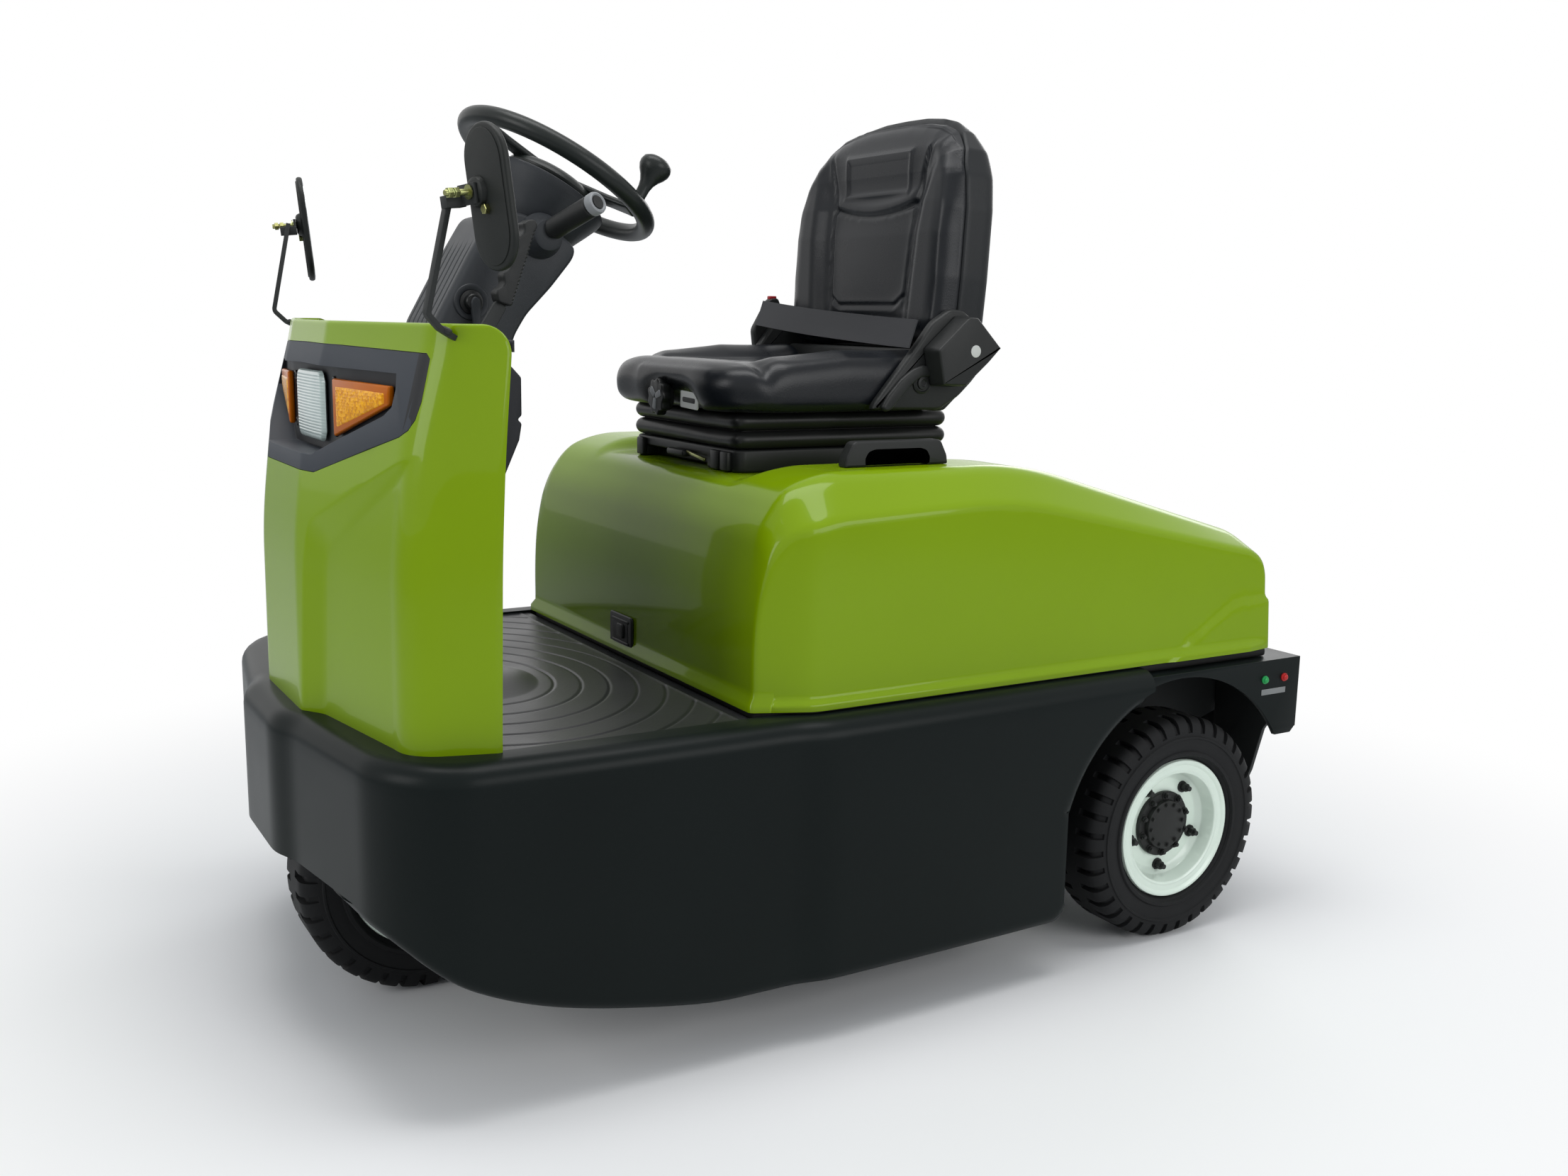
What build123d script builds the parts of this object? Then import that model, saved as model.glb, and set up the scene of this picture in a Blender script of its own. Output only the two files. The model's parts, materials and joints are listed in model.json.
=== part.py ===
from build123d import *
import os
from math import cos, radians, sin

os.makedirs("parts", exist_ok=True)

# Three-wheel electric baggage tug. It faces +X, +Y is its left side, +Z is up, and it stands on Z = 0.
# Lengths are millimetres. Stations marked "x" are measured forward from the rear axle.

# Driving dimensions of the whole vehicle
wheelbase = 1150
front_overhang = 220
rear_overhang = 330
track = 810
tyre_r = 190
tyre_w = 113
rim_seat_r = 101
rim_flange_r = 118.6
deck_z = 464
skirt_bottom_z = 101
skirt_half_w = 472
body_gap = 0.3
swing_gap = 8

axle_x = (rear_overhang - front_overhang - wheelbase) / 2
plan = Plane(origin=(axle_x, 0, 0))


def side(y):
    """Side view at y: local x is forward of the rear axle, local y is up."""
    return Plane(origin=(axle_x, y, 0), x_dir=(1, 0, 0), z_dir=(0, -1, 0))


def front(x):
    """Front view at station x: local x is to the left, local y is up."""
    return Plane(origin=(axle_x + x, 0, 0), x_dir=(0, 1, 0), z_dir=(1, 0, 0))


# Wheels: solid tyre with shoulder lugs, deep dish rim, black hub. The same wheel stands at all three places.
lug_count = 22
lug_gap = 14
lug_depth = 9
lug_reach = 26
rim_half_w = 47
rim_wall = 6
dish_offset = 6
dish_t = 9
hub_r = 42
hub_flange_r = 60
hub_inner = -38
hub_outer = 30
tyre_bead_half_w = 40

# columns: name, x of the wheel, y of the wheel, side that shows (+1 left, -1 right)
wheels = [
    ("rear_left", 0, track / 2, 1),
    ("rear_right", 0, -track / 2, -1),
    ("front", wheelbase, 0, 1),
]
for place, wheel_x, wheel_y, out in wheels:
    centre = (axle_x + wheel_x, wheel_y, tyre_r)
    spin_axis = Axis(centre, (0, 1, 0))
    section = Plane(origin=centre, x_dir=(1, 0, 0), z_dir=(0, 0, out))
    face_on = Plane(origin=centre, x_dir=(1, 0, 0), z_dir=(0, out, 0))
    with BuildPart() as tyre:
        with BuildSketch(section):
            with BuildLine():
                Polyline(
                    (rim_seat_r, -tyre_bead_half_w),
                    (rim_flange_r + body_gap, -tyre_bead_half_w - 2),
                    (rim_flange_r + 8, -tyre_w / 2 + 4),
                    (tyre_r - 34, -tyre_w / 2),
                    (tyre_r - 8, -tyre_w / 2 + 9),
                    (tyre_r, -tyre_w / 2 + 20),
                    (tyre_r, tyre_w / 2 - 20),
                    (tyre_r - 8, tyre_w / 2 - 9),
                    (tyre_r - 34, tyre_w / 2),
                    (rim_flange_r + 8, tyre_w / 2 - 4),
                    (rim_flange_r + body_gap, tyre_bead_half_w + 2),
                    (rim_seat_r, tyre_bead_half_w),
                    close=True,
                )
            make_face()
        revolve(axis=spin_axis)
        for half in (1, -1):
            first = 0 if half == 1 else 180 / lug_count
            with BuildSketch(face_on.offset(half * (tyre_w / 2 - lug_reach))):
                with PolarLocations(tyre_r, lug_count, start_angle=first):
                    Rectangle(2 * lug_depth, lug_gap)
            extrude(amount=half * tyre_w / 2, mode=Mode.SUBTRACT)
    tyre.part.label = f"tyre_{place}"
    export_step(tyre.part, f"parts/tyre_{place}.step")

    barrel_r = rim_seat_r - body_gap
    with BuildPart() as rim:
        with BuildSketch(section):
            with BuildLine():
                Polyline(
                    (barrel_r - rim_wall, -rim_half_w),
                    (rim_flange_r, -rim_half_w),
                    (rim_flange_r, -rim_half_w + 4),
                    (barrel_r, -tyre_bead_half_w - 1),
                    (barrel_r, tyre_bead_half_w + 1),
                    (rim_flange_r, rim_half_w - 4),
                    (rim_flange_r, rim_half_w),
                    (barrel_r - rim_wall, rim_half_w),
                    (barrel_r - rim_wall - 6, dish_offset + dish_t + 8),
                    (barrel_r - rim_wall - 16, dish_offset + dish_t),
                    (hub_r + body_gap, dish_offset + dish_t),
                    (hub_r + body_gap, dish_offset),
                    (barrel_r - rim_wall, dish_offset),
                    close=True,
                )
            make_face()
        revolve(axis=spin_axis)
    rim.part.label = f"rim_{place}"
    export_step(rim.part, f"parts/rim_{place}.step")

    with BuildPart() as hub:
        with BuildSketch(face_on.offset(hub_inner)):
            Circle(hub_r)
        extrude(amount=hub_outer - hub_inner)
        with BuildSketch(face_on.offset(dish_offset - body_gap - dish_t)):
            Circle(hub_flange_r)
        extrude(amount=dish_t)
    hub.part.label = f"hub_{place}"
    export_step(hub.part, f"parts/hub_{place}.step")

# Skirt: one formed shell round the nose and both sides, with a rounded top edge and wheel arches.
skirt_front_x = wheelbase + front_overhang
skirt_wall = 14
skirt_top_flange = 46
skirt_edge_r = 28
skirt_rear_x = 95
skirt_bow = 14
bow_x = 724
arch_r = 265
arch_x = 20
arch_front_x = 272
# columns: x behind the foremost face, distance in from the side
nose = [(0, 382), (-18, 337), (-53, 102), (-73, 62), (-103, 30), (-140, 11)]
# columns: x, z of the lower edge, where it sweeps up towards the nose
lower_edge = [
    (880, skirt_bottom_z),
    (954, 112),
    (1054, 131),
    (1123, 149),
    (1182, 171),
    (1248, 206),
    (1299, 252),
    (1330, 270),
    (skirt_front_x + 30, 285),
]


def skirt_outline(inset, z):
    """Closed plan outline of the skirt, moved in by inset, at height z."""
    with BuildSketch(plan.offset(z)) as outline:
        with BuildLine():
            rear = (skirt_rear_x, skirt_half_w)
            first = (skirt_front_x, 0)
            points = [(skirt_front_x + dx, skirt_half_w - inward) for dx, inward in nose]
            Polyline(first, *points)
            ThreePointArc(points[-1], (bow_x, skirt_half_w + skirt_bow), rear)
            Polyline(rear, (skirt_rear_x, 0), first)
        make_face()
        mirror(about=side(0))
        if inset:
            offset(amount=-inset, kind=Kind.INTERSECTION)
    return outline.sketch


with BuildPart() as skirt:
    add(skirt_outline(0, skirt_bottom_z))
    extrude(amount=deck_z - skirt_bottom_z)
    top_edges = skirt.faces().sort_by(Axis.Z)[-1].edges()
    fillet([e for e in top_edges if e.center().X > axle_x + skirt_rear_x + 1], skirt_edge_r)
    add(skirt_outline(skirt_wall, skirt_bottom_z))
    extrude(amount=deck_z - skirt_wall - skirt_bottom_z, mode=Mode.SUBTRACT)
    with BuildSketch(plan.offset(skirt_bottom_z)):
        with Locations((skirt_rear_x, 0)):
            Rectangle(2 * skirt_wall + 20, 2 * (skirt_half_w - skirt_wall))
    extrude(amount=deck_z - skirt_wall - skirt_bottom_z, mode=Mode.SUBTRACT)
    add(skirt_outline(skirt_top_flange, deck_z - skirt_wall))
    extrude(amount=skirt_wall + 1, mode=Mode.SUBTRACT)
    with BuildSketch(plan.offset(deck_z - skirt_wall)):
        with Locations((skirt_rear_x, 0)):
            Rectangle(2 * skirt_top_flange + 20, 2 * (skirt_half_w - skirt_top_flange))
    extrude(amount=skirt_wall + 1, mode=Mode.SUBTRACT)
    with BuildSketch(side(0)):
        with BuildLine():
            Polyline(*lower_edge, (lower_edge[-1][0], skirt_bottom_z - 20),
                     (lower_edge[0][0], skirt_bottom_z - 20), close=True)
        make_face()
    extrude(amount=skirt_half_w + 60, both=True, mode=Mode.SUBTRACT)
    with BuildSketch(side(0)):
        with Locations((arch_x, tyre_r)):
            Circle(arch_r)
        with Locations(((arch_front_x - 200) / 2, tyre_r / 2)):
            Rectangle(arch_front_x + 200, tyre_r + 10)
    extrude(amount=skirt_half_w + 60, both=True, mode=Mode.SUBTRACT)
skirt.part.label = "skirt"
export_step(skirt.part, "parts/skirt.step")

# Frame: welded plates that carry the deck, battery, axle, steering head and tow coupling.
frame_gap = 18
frame_half_w = skirt_half_w - skirt_wall - frame_gap
frame_plate_t = 10
frame_floor_z = 120
frame_front_x = 1230
frame_deck_t = 6
frame_top_z = deck_z - skirt_wall - body_gap
well_rear_x = 290
well_front_x = 790
battery_x = (well_rear_x + frame_plate_t + 4, well_front_x - 45)
battery_half_w = frame_half_w - 110
battery_z = (frame_floor_z + frame_plate_t + body_gap, 720)
rear_plate_x = -246
rear_plate_low_z = 180
rear_rail_y = 300
tow_z = 291
plate_bolt_y = 240
plate_bolt_z = 100
plate_bolt_r = 8.5
rail_low_z = 280
kingpin_r = 30
steer_head_z = 420
steer_head_wall = 18
# columns: x, z of the side plates' lower edge
keel = [(well_rear_x, frame_floor_z), (900, frame_floor_z), (1100, 165), (1215, 230)]
# columns: x, z of the rear rails' lower edge
rail_edge = [(rear_plate_x, 330), (-80, rail_low_z), (100, rail_low_z), (well_rear_x, 250)]
with BuildPart() as frame:
    # side plates between the rear arch and the nose
    for y in (frame_half_w, -frame_half_w + frame_plate_t):
        with BuildSketch(side(y)):
            with BuildLine():
                Polyline(*keel, (keel[-1][0], frame_top_z), (keel[0][0], frame_top_z), close=True)
            make_face()
        extrude(amount=frame_plate_t)
    # battery floor and its two bulkheads
    with BuildSketch(plan.offset(frame_floor_z)):
        with Locations(((well_rear_x + well_front_x) / 2, 0)):
            Rectangle(well_front_x - well_rear_x, 2 * frame_half_w - 2 * frame_plate_t)
    extrude(amount=frame_plate_t)
    for x, inward in ((well_rear_x, 1), (well_front_x, -1)):
        with BuildSketch(front(x)):
            with Locations((0, (frame_floor_z + frame_top_z) / 2)):
                Rectangle(2 * frame_half_w - 2 * frame_plate_t, frame_top_z - frame_floor_z)
        extrude(amount=inward * frame_plate_t)
    # deck plate over the front wheel, with the steering head under it
    with BuildSketch(plan.offset(frame_top_z - frame_deck_t)):
        with Locations(((well_front_x + frame_front_x) / 2, 0)):
            Rectangle(frame_front_x - well_front_x, 2 * frame_half_w)
    extrude(amount=frame_deck_t)
    with BuildSketch(plan.offset(steer_head_z)):
        with Locations((wheelbase, 0)):
            Circle(kingpin_r + steer_head_wall)
    extrude(amount=frame_top_z - steer_head_z)
    with BuildSketch(plan.offset(steer_head_z)):
        with Locations((wheelbase, 0)):
            Circle(kingpin_r + body_gap)
    extrude(amount=frame_top_z - steer_head_z, mode=Mode.SUBTRACT)
    # rear rails inside the wheels and the tow plate across them
    for y in (rear_rail_y, -rear_rail_y + frame_plate_t):
        with BuildSketch(side(y)):
            with BuildLine():
                Polyline(*rail_edge, (rail_edge[-1][0], frame_top_z), (rail_edge[0][0], frame_top_z), close=True)
            make_face()
        extrude(amount=frame_plate_t)
    with BuildSketch(front(rear_plate_x)):
        with Locations((0, (rear_plate_low_z + frame_top_z) / 2)):
            Rectangle(2 * rear_rail_y, frame_top_z - rear_plate_low_z)
        with Locations((0, tow_z)):
            with GridLocations(plate_bolt_y, plate_bolt_z, 2, 2):
                Circle(plate_bolt_r, mode=Mode.SUBTRACT)
    extrude(amount=-frame_plate_t)
    add(skirt_outline(skirt_top_flange + body_gap, frame_top_z - 1))
    extrude(amount=deck_z - frame_top_z + 1)
    with BuildSketch(plan.offset(frame_top_z - 1)):
        with Locations(((rear_plate_x - 100 + well_front_x - frame_plate_t) / 2, 0)):
            Rectangle(well_front_x - frame_plate_t - rear_plate_x + 100, 2 * (frame_half_w - frame_plate_t - 2))
    extrude(amount=deck_z, mode=Mode.SUBTRACT)
frame.part.label = "frame"
export_step(frame.part, "parts/frame.step")

# Cowl: painted shell, open at the back and top, leaning back above the waist, with a raised centre column
# and a raised brow that carries the lamps.
cowl_wall = 8
cowl_bottom_z = deck_z + body_gap
cowl_top_z = 1009
column_half_w = 100
column_rise = 13
cowl_rear_x = 1145
corner_setback = 63.5
corner_y = 398
corner_r = 70
top_corner_r = 48
# columns: z, x of the centre column, x of the rear edge, half width at the rear edge
cowl_levels = [
    (cowl_bottom_z, 1340, 1166, 429),
    (720, 1338, 1163, 429),
    (850, 1322, 1157, 426),
    (cowl_top_z, 1280, cowl_rear_x, 411),
]


def cowl_level(level, inset, side_inset, rise, back):
    """Plan section of the cowl: the insets move its walls in, rise lowers the face beside the column."""
    z, x_centre, x_rear, y_rear = level
    x = x_centre - inset
    with BuildSketch(plan.offset(z)) as cut:
        with BuildLine():
            rear = (x_rear, y_rear - side_inset)
            FilletPolyline((x - rise, 0), (x - rise, column_half_w),
                           (x - corner_setback - rise * 0.2, corner_y - side_inset), rear, radius=corner_r - inset)
            Polyline(rear, (x_rear - back, rear[1]), (x_rear - back, 0), (x - rise, 0))
        make_face()
        mirror(about=side(0))
    return cut.sketch


def cowl_block(inset, side_inset=0, rise=0, back=1):
    """Solid inside the cowl's face at the given depth, as a ruled loft through its levels."""
    with BuildPart() as block:
        for z, x_centre, x_rear, y_rear in cowl_levels:
            low = 3 if inset and z == cowl_bottom_z else 0
            high = 3 if inset and z == cowl_top_z else 0
            add(cowl_level((z - low + high, x_centre, x_rear, y_rear), inset, side_inset, rise, back))
        loft(ruled=True)
    return block.part


# Hollows beside the column. Their outline is drawn in an upright plane that follows the face from the column
# to the wing's tip, and their sides slope in behind it.
recess_slope = 2.6
recess_reach = (10, -36)
recess_plane = Plane(origin=(axle_x + 1338, column_half_w, 0), x_dir=(-0.229, 0.973, 0), z_dir=(0.973, 0.229, 0))
# columns: distance along the plane from the column, z
recess_edge = [(0, 400), (4, 470), (22, 676), (36, 742), (430, 913), (430, 400)]


def recess_block():
    """Both hollows, from the lowered face outward."""
    with BuildPart() as hollow:
        for reach in recess_reach:
            with BuildSketch(recess_plane.offset(reach)):
                with BuildLine():
                    Polyline(*recess_edge, close=True)
                make_face()
                offset(amount=reach * recess_slope, kind=Kind.INTERSECTION)
        loft(ruled=True)
        mirror(about=side(0))
        add(cowl_block(0, rise=column_rise, back=60), mode=Mode.SUBTRACT)
    return hollow.part


# Lamp bezel outline in front view, half of it, and the pocket for the lamps
bezel_top_z = 979
bezel_half = [(0, bezel_top_z), (140, 978), (368, 973), (375, 966), (377, 914), (374, 892), (366, 879), (350, 870),
              (140, 809), (0, 809)]
bezel_low_z = bezel_half[-1][1]
bezel_depth = 46
bezel_gap = 0.6
pocket_half = [(0, 950), (309, 946), (316, 927), (316, 905), (300, 893), (128, 832), (0, 832)]
lamp_x = 1278
prism_x = 1100
prism_t = 300


def bezel_prism(half, grow=0.0):
    """Prism of a mirrored front-view outline, through the whole face."""
    with BuildPart() as prism:
        with BuildSketch(front(prism_x)):
            with BuildLine():
                Polyline(*half, close=True)
            make_face()
            mirror(about=Plane.YZ)
            if grow:
                offset(amount=grow, kind=Kind.INTERSECTION)
        extrude(amount=prism_t)
    return prism.part


with BuildPart() as cowl:
    add(cowl_block(0))
    add(recess_block(), mode=Mode.SUBTRACT)
    add(cowl_block(cowl_wall + column_rise, side_inset=cowl_wall, back=60), mode=Mode.SUBTRACT)
    # rounded top rear corners of the side walls
    with BuildSketch(side(0)):
        with BuildLine():
            x_low, x_top = cowl_rear_x - 2, cowl_rear_x + top_corner_r
            ThreePointArc((x_low, cowl_top_z - top_corner_r), (x_low + 0.3 * top_corner_r, cowl_top_z - 0.3 * top_corner_r),
                          (x_top, cowl_top_z + 1))
            Polyline((x_top, cowl_top_z + 1), (x_low, cowl_top_z + 1), (x_low, cowl_top_z - top_corner_r))
        make_face()
    extrude(amount=skirt_half_w, both=True, mode=Mode.SUBTRACT)
    add(bezel_prism(bezel_half), mode=Mode.SUBTRACT)
cowl.part.label = "cowl"
export_step(cowl.part, "parts/cowl.step")

# The pocket's floor is flat behind the headlamp and swept back behind the indicators.
# columns: x, y of the floor line in plan
pocket_floor = [(lamp_x, 0), (lamp_x, 128), (lamp_x - 28, 296), (lamp_x - 31, 320)]


def lamp_layer(half, depth, lift, grow=0.0):
    """Block over the pocket floor: half is its front-view outline, lift its height off the floor."""
    with BuildPart() as layer:
        with BuildSketch(plan.offset(bezel_low_z - 20)):
            with BuildLine():
                base = [(x + lift, y) for x, y in pocket_floor]
                top = [(x + lift + depth, y) for x, y in reversed(pocket_floor)]
                Polyline(*base, *top, close=True)
            make_face()
            mirror(about=side(0))
        extrude(amount=bezel_top_z - bezel_low_z + 40)
        add(bezel_prism(half, grow), mode=Mode.INTERSECT)
    return layer.part


with BuildPart() as lamp_bezel:
    add(cowl_block(0))
    add(cowl_block(bezel_depth, side_inset=cowl_wall, back=60), mode=Mode.SUBTRACT)
    add(bezel_prism(bezel_half, -bezel_gap), mode=Mode.INTERSECT)
    add(lamp_layer(pocket_half, 8, -8, grow=4))
    add(lamp_layer(pocket_half, 80, 0), mode=Mode.SUBTRACT)
lamp_bezel.part.label = "lamp_bezel"
export_step(lamp_bezel.part, "parts/lamp_bezel.step")

# Headlamp and the two indicators stand on the pocket floor.
headlamp_half = [(0, 938), (60, 938), (72, 926), (72, 856), (60, 845), (0, 845)]
indicator = [(128, 933), (296, 930), (294, 906), (128, 855)]
lamp_t = 9
with BuildPart() as headlamp:
    add(lamp_layer(headlamp_half, lamp_t, body_gap))
headlamp.part.label = "headlamp"
export_step(headlamp.part, "parts/headlamp.step")
with BuildPart() as indicators:
    add(lamp_layer(indicator, lamp_t, body_gap))
indicators.part.label = "indicators"
export_step(indicators.part, "parts/indicators.step")

# Rear deck: flat plate with wheel arch cheeks and a turned-down rear edge.
deck_t = 8
deck_rear_x = -255
tab_z = 330
with BuildPart() as rear_deck:
    with BuildSketch(plan.offset(deck_z - deck_t)):
        with Locations(((skirt_rear_x - body_gap + deck_rear_x) / 2, 0)):
            Rectangle(skirt_rear_x - body_gap - deck_rear_x, 2 * skirt_half_w)
        with Locations(((skirt_rear_x - 190) / 2, 0)):
            Rectangle(skirt_rear_x + 190, 2 * (skirt_half_w - 52), mode=Mode.SUBTRACT)
    extrude(amount=deck_t)
    for y in (skirt_half_w, -skirt_half_w + deck_t):
        with BuildSketch(side(y)):
            with BuildLine():
                Polyline((deck_rear_x, tab_z + 12), (deck_rear_x + 12, tab_z), (-200, tab_z), (-180, 300), (0, 300),
                         (skirt_rear_x - body_gap, 440), (skirt_rear_x - body_gap, deck_z), (deck_rear_x, deck_z),
                         close=True)
            make_face()
            with Locations((arch_x, tyre_r)):
                Circle(arch_r, mode=Mode.SUBTRACT)
        extrude(amount=deck_t)
    for y in (1, -1):
        with BuildSketch(front(deck_rear_x)):
            with Locations((y * (rear_rail_y + body_gap + skirt_half_w) / 2, (tab_z + 10 + deck_z) / 2)):
                Rectangle(skirt_half_w - rear_rail_y - body_gap, deck_z - tab_z - 10)
        extrude(amount=deck_t)
rear_deck.part.label = "rear_deck"
export_step(rear_deck.part, "parts/rear_deck.step")

# Hood: hinged lid over the battery, a pressed shell with raised shoulders either side of the seat channel.
hood_wall = 8
hood_half_w = skirt_half_w - 25
hood_bottom_z = 480
shoulder_half_w = hood_half_w - 52
hood_top_z = 808
channel_half_w = hood_half_w - 212
channel_z = 787
channel_rear_x = 230
hood_front_x = 795
hood_rear_x = -199
# columns: x and z on the crown, x and z on the crease of the side
hood_profile = [
    (hood_front_x, hood_bottom_z, hood_front_x, hood_bottom_z),
    (hood_front_x, 600, hood_front_x, 600),
    (788, 665, 786, 640),
    (774, 733, 765, 690),
    (739, 783, 740, 725),
    (688, hood_top_z, 707, 744),
    (310, hood_top_z, 369, 760),
    (-153, 676, -165, 645),
    (-182, 640, -184, 620),
    (hood_rear_x, hood_bottom_z, hood_rear_x, hood_bottom_z),
]


def hood_block(inset):
    """Solid form of the hood, moved in by inset; an inner block runs out through the open bottom."""
    drop = 40 if inset else 0
    with BuildPart() as block:
        for y, column in ((hood_half_w - inset, 2), (shoulder_half_w - inset, 0), (-shoulder_half_w + inset, 0),
                          (-hood_half_w + inset, 2)):
            with BuildSketch(side(y)):
                with BuildLine():
                    points = [(row[column], row[column + 1]) for row in hood_profile]
                    points[0] = (points[0][0], points[0][1] - drop)
                    points[-1] = (points[-1][0], points[-1][1] - drop)
                    Polyline(*points, close=True)
                make_face()
                if inset:
                    offset(amount=-inset, kind=Kind.INTERSECTION)
        loft(ruled=True)
        # chamfered front corners
        for right in (1, -1):
            with BuildSketch(plan.offset(hood_bottom_z - drop)):
                with BuildLine():
                    Polyline((hood_front_x + 5, right * (hood_half_w - 34 - inset)),
                             (hood_front_x - 80 - inset, right * (hood_half_w + 1)),
                             (hood_front_x + 5, right * (hood_half_w + 1)), close=True)
                make_face()
            extrude(amount=hood_top_z + 50 - hood_bottom_z + drop, mode=Mode.SUBTRACT)
        # seat channel
        with BuildSketch(front(channel_rear_x - inset)):
            with BuildLine():
                half_w = channel_half_w + inset * 0.5
                rise = hood_top_z + 30 - channel_z
                Polyline((half_w, channel_z - inset), (half_w + rise, hood_top_z + 30 - inset),
                         (-half_w - rise, hood_top_z + 30 - inset), (-half_w, channel_z - inset), close=True)
            make_face()
        extrude(amount=hood_front_x - channel_rear_x + 20, mode=Mode.SUBTRACT)
    return block.part


hinge_x = hood_rear_x - 8
hinge_z = hood_bottom_z
hinge_pin_r = 5
hinge_ear_w = 24
hinge_y = 250
with BuildPart() as hood:
    add(hood_block(0))
    add(hood_block(hood_wall), mode=Mode.SUBTRACT)
    for y in (hinge_y, -hinge_y):
        with BuildSketch(side(y + hinge_ear_w / 2)):
            with Locations((hinge_x, hinge_z)):
                Circle(9)
            with Locations(((hinge_x + hood_rear_x + 6) / 2, hinge_z + 4.5)):
                Rectangle(hood_rear_x + 6 - hinge_x, 9)
        extrude(amount=hinge_ear_w)
        with BuildSketch(side(y + hinge_ear_w / 2)):
            with Locations((hinge_x, hinge_z)):
                Circle(hinge_pin_r + 0.05)
        extrude(amount=hinge_ear_w, mode=Mode.SUBTRACT)
hood.part.label = "hood"
export_step(hood.part, "parts/hood.step")

with BuildPart() as hood_hinges:
    for y in (hinge_y, -hinge_y):
        reach = hinge_ear_w / 2 + 1
        with BuildSketch(side(y + reach + 12)):
            with Locations((hinge_x, hinge_z)):
                Circle(hinge_pin_r)
        extrude(amount=2 * reach + 24)
        for end in (reach + 12, -reach):
            with BuildSketch(side(y + end)):
                with Locations((hinge_x, hinge_z)):
                    Circle(8)
                with Locations((hinge_x - 3, (deck_z + body_gap + hinge_z) / 2)):
                    Rectangle(22, hinge_z - deck_z - body_gap)
            extrude(amount=12)
hood_hinges.part.label = "hood_hinges"
export_step(hood_hinges.part, "parts/hood_hinges.step")

# Rubber seal under the hood's lip, and the mat of the footwell
seal_w = 12
with BuildPart() as hood_seal:
    with BuildSketch(plan.offset(deck_z + body_gap)):
        with BuildLine():
            Polyline((hood_rear_x + 1, 0), (hood_rear_x + 1, hood_half_w - 1), (hood_front_x - 80, hood_half_w - 1),
                     (hood_front_x - 1, hood_half_w - 35), (hood_front_x - 1, 0), close=True)
        make_face()
        mirror(about=side(0))
        offset(amount=-seal_w, kind=Kind.INTERSECTION, mode=Mode.SUBTRACT)
    extrude(amount=hood_bottom_z - deck_z - 2 * body_gap)
hood_seal.part.label = "hood_seal"
export_step(hood_seal.part, "parts/hood_seal.step")

mat_t = 7
mat_half_w = skirt_half_w - 24
mat_front_x = 1138
mat_nose_x = 1290
dash_x = 1128
with BuildPart() as floor_mat:
    with BuildSketch(plan.offset(deck_z + body_gap)):
        with BuildLine():
            Polyline((hood_front_x + 3, 0), (hood_front_x + 3, mat_half_w), (mat_front_x, mat_half_w),
                     (mat_front_x, mat_half_w - 52), (mat_front_x + 100, mat_half_w - 83), (mat_nose_x, 90),
                     (mat_nose_x, 0), close=True)
        make_face()
        mirror(about=side(0))
    extrude(amount=mat_t)
floor_mat.part.label = "floor_mat"
export_step(floor_mat.part, "parts/floor_mat.step")
mat_top_z = deck_z + body_gap + mat_t

# Inner dash: black panel behind the cowl with a lid under its top edge, and a switch box on its left half
dash_half_w = skirt_half_w - 78
dash_low_z = 560
dash_top_z = 990
dash_wall = 6
box_y = (120, 300)
with BuildPart() as dash_panel:
    with BuildSketch(plan.offset(dash_top_z - dash_wall)):
        with BuildLine():
            Polyline((dash_x, 0), (dash_x, dash_half_w), (dash_x + 22, dash_half_w), (dash_x + 48, dash_half_w - 14),
                     (dash_x + 68, dash_half_w - 44), (dash_x + 112, 100), (dash_x + 112, 0), close=True)
        make_face()
        mirror(about=side(0))
    extrude(amount=dash_wall)
    with BuildSketch(front(dash_x)):
        with Locations((0, (dash_low_z + dash_top_z) / 2)):
            Rectangle(2 * dash_half_w, dash_top_z - dash_low_z)
    extrude(amount=dash_wall)
    with BuildSketch(side(box_y[1])):
        with BuildLine():
            Polyline((dash_x, 955), (1098, 955), (1084, 940), (1084, 890), (1090, 885), (1084, 880), (1088, 858),
                     (1106, 818), (1118, 790), (dash_x, 780), close=True)
        make_face()
    extrude(amount=box_y[1] - box_y[0])
dash_panel.part.label = "dash_panel"
export_step(dash_panel.part, "parts/dash_panel.step")

# Steering column: shroud behind the dash, bowl under the wheel. The wheel's plane is tipped back.
wheel_x = 910
wheel_z = 1226
wheel_tilt = 31
ring_r = 150
ring_tube_r = 13.5
column_half_w = 78
column_axis = (-sin(radians(wheel_tilt)), 0, cos(radians(wheel_tilt)))
wheel_plane = Plane(origin=(axle_x + wheel_x, 0, wheel_z), x_dir=(cos(radians(wheel_tilt)), 0, sin(radians(wheel_tilt))),
                    z_dir=column_axis)
wheel_section = Plane(origin=wheel_plane.origin, x_dir=wheel_plane.x_dir, z_dir=(0, -1, 0))
bowl_top = -26
bowl_r = 92
with BuildPart() as column_shroud:
    with BuildSketch(side(0)):
        with BuildLine():
            Polyline((dash_x - body_gap, mat_top_z + body_gap), (dash_x - body_gap, 1005), (1072, 1105), (1036, 1163),
                     (990, 1165), (923, 1131), (908, 1110), (949, 1060), (988, 1020), (1013, 976), (1016, 900),
                     (1100, 780), (1100, mat_top_z + body_gap), close=True)
        make_face()
    extrude(amount=column_half_w, both=True)
    with BuildSketch(wheel_section):
        with BuildLine():
            Polyline((0, -110), (55, -110), (bowl_r - 22, -75), (bowl_r - 4, bowl_top - 14), (bowl_r, bowl_top - 6),
                     (bowl_r - 3, bowl_top), (0, bowl_top), close=True)
        make_face()
    revolve(axis=Axis(wheel_plane.origin, column_axis))
column_shroud.part.label = "column_shroud"
export_step(column_shroud.part, "parts/column_shroud.step")

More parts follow.
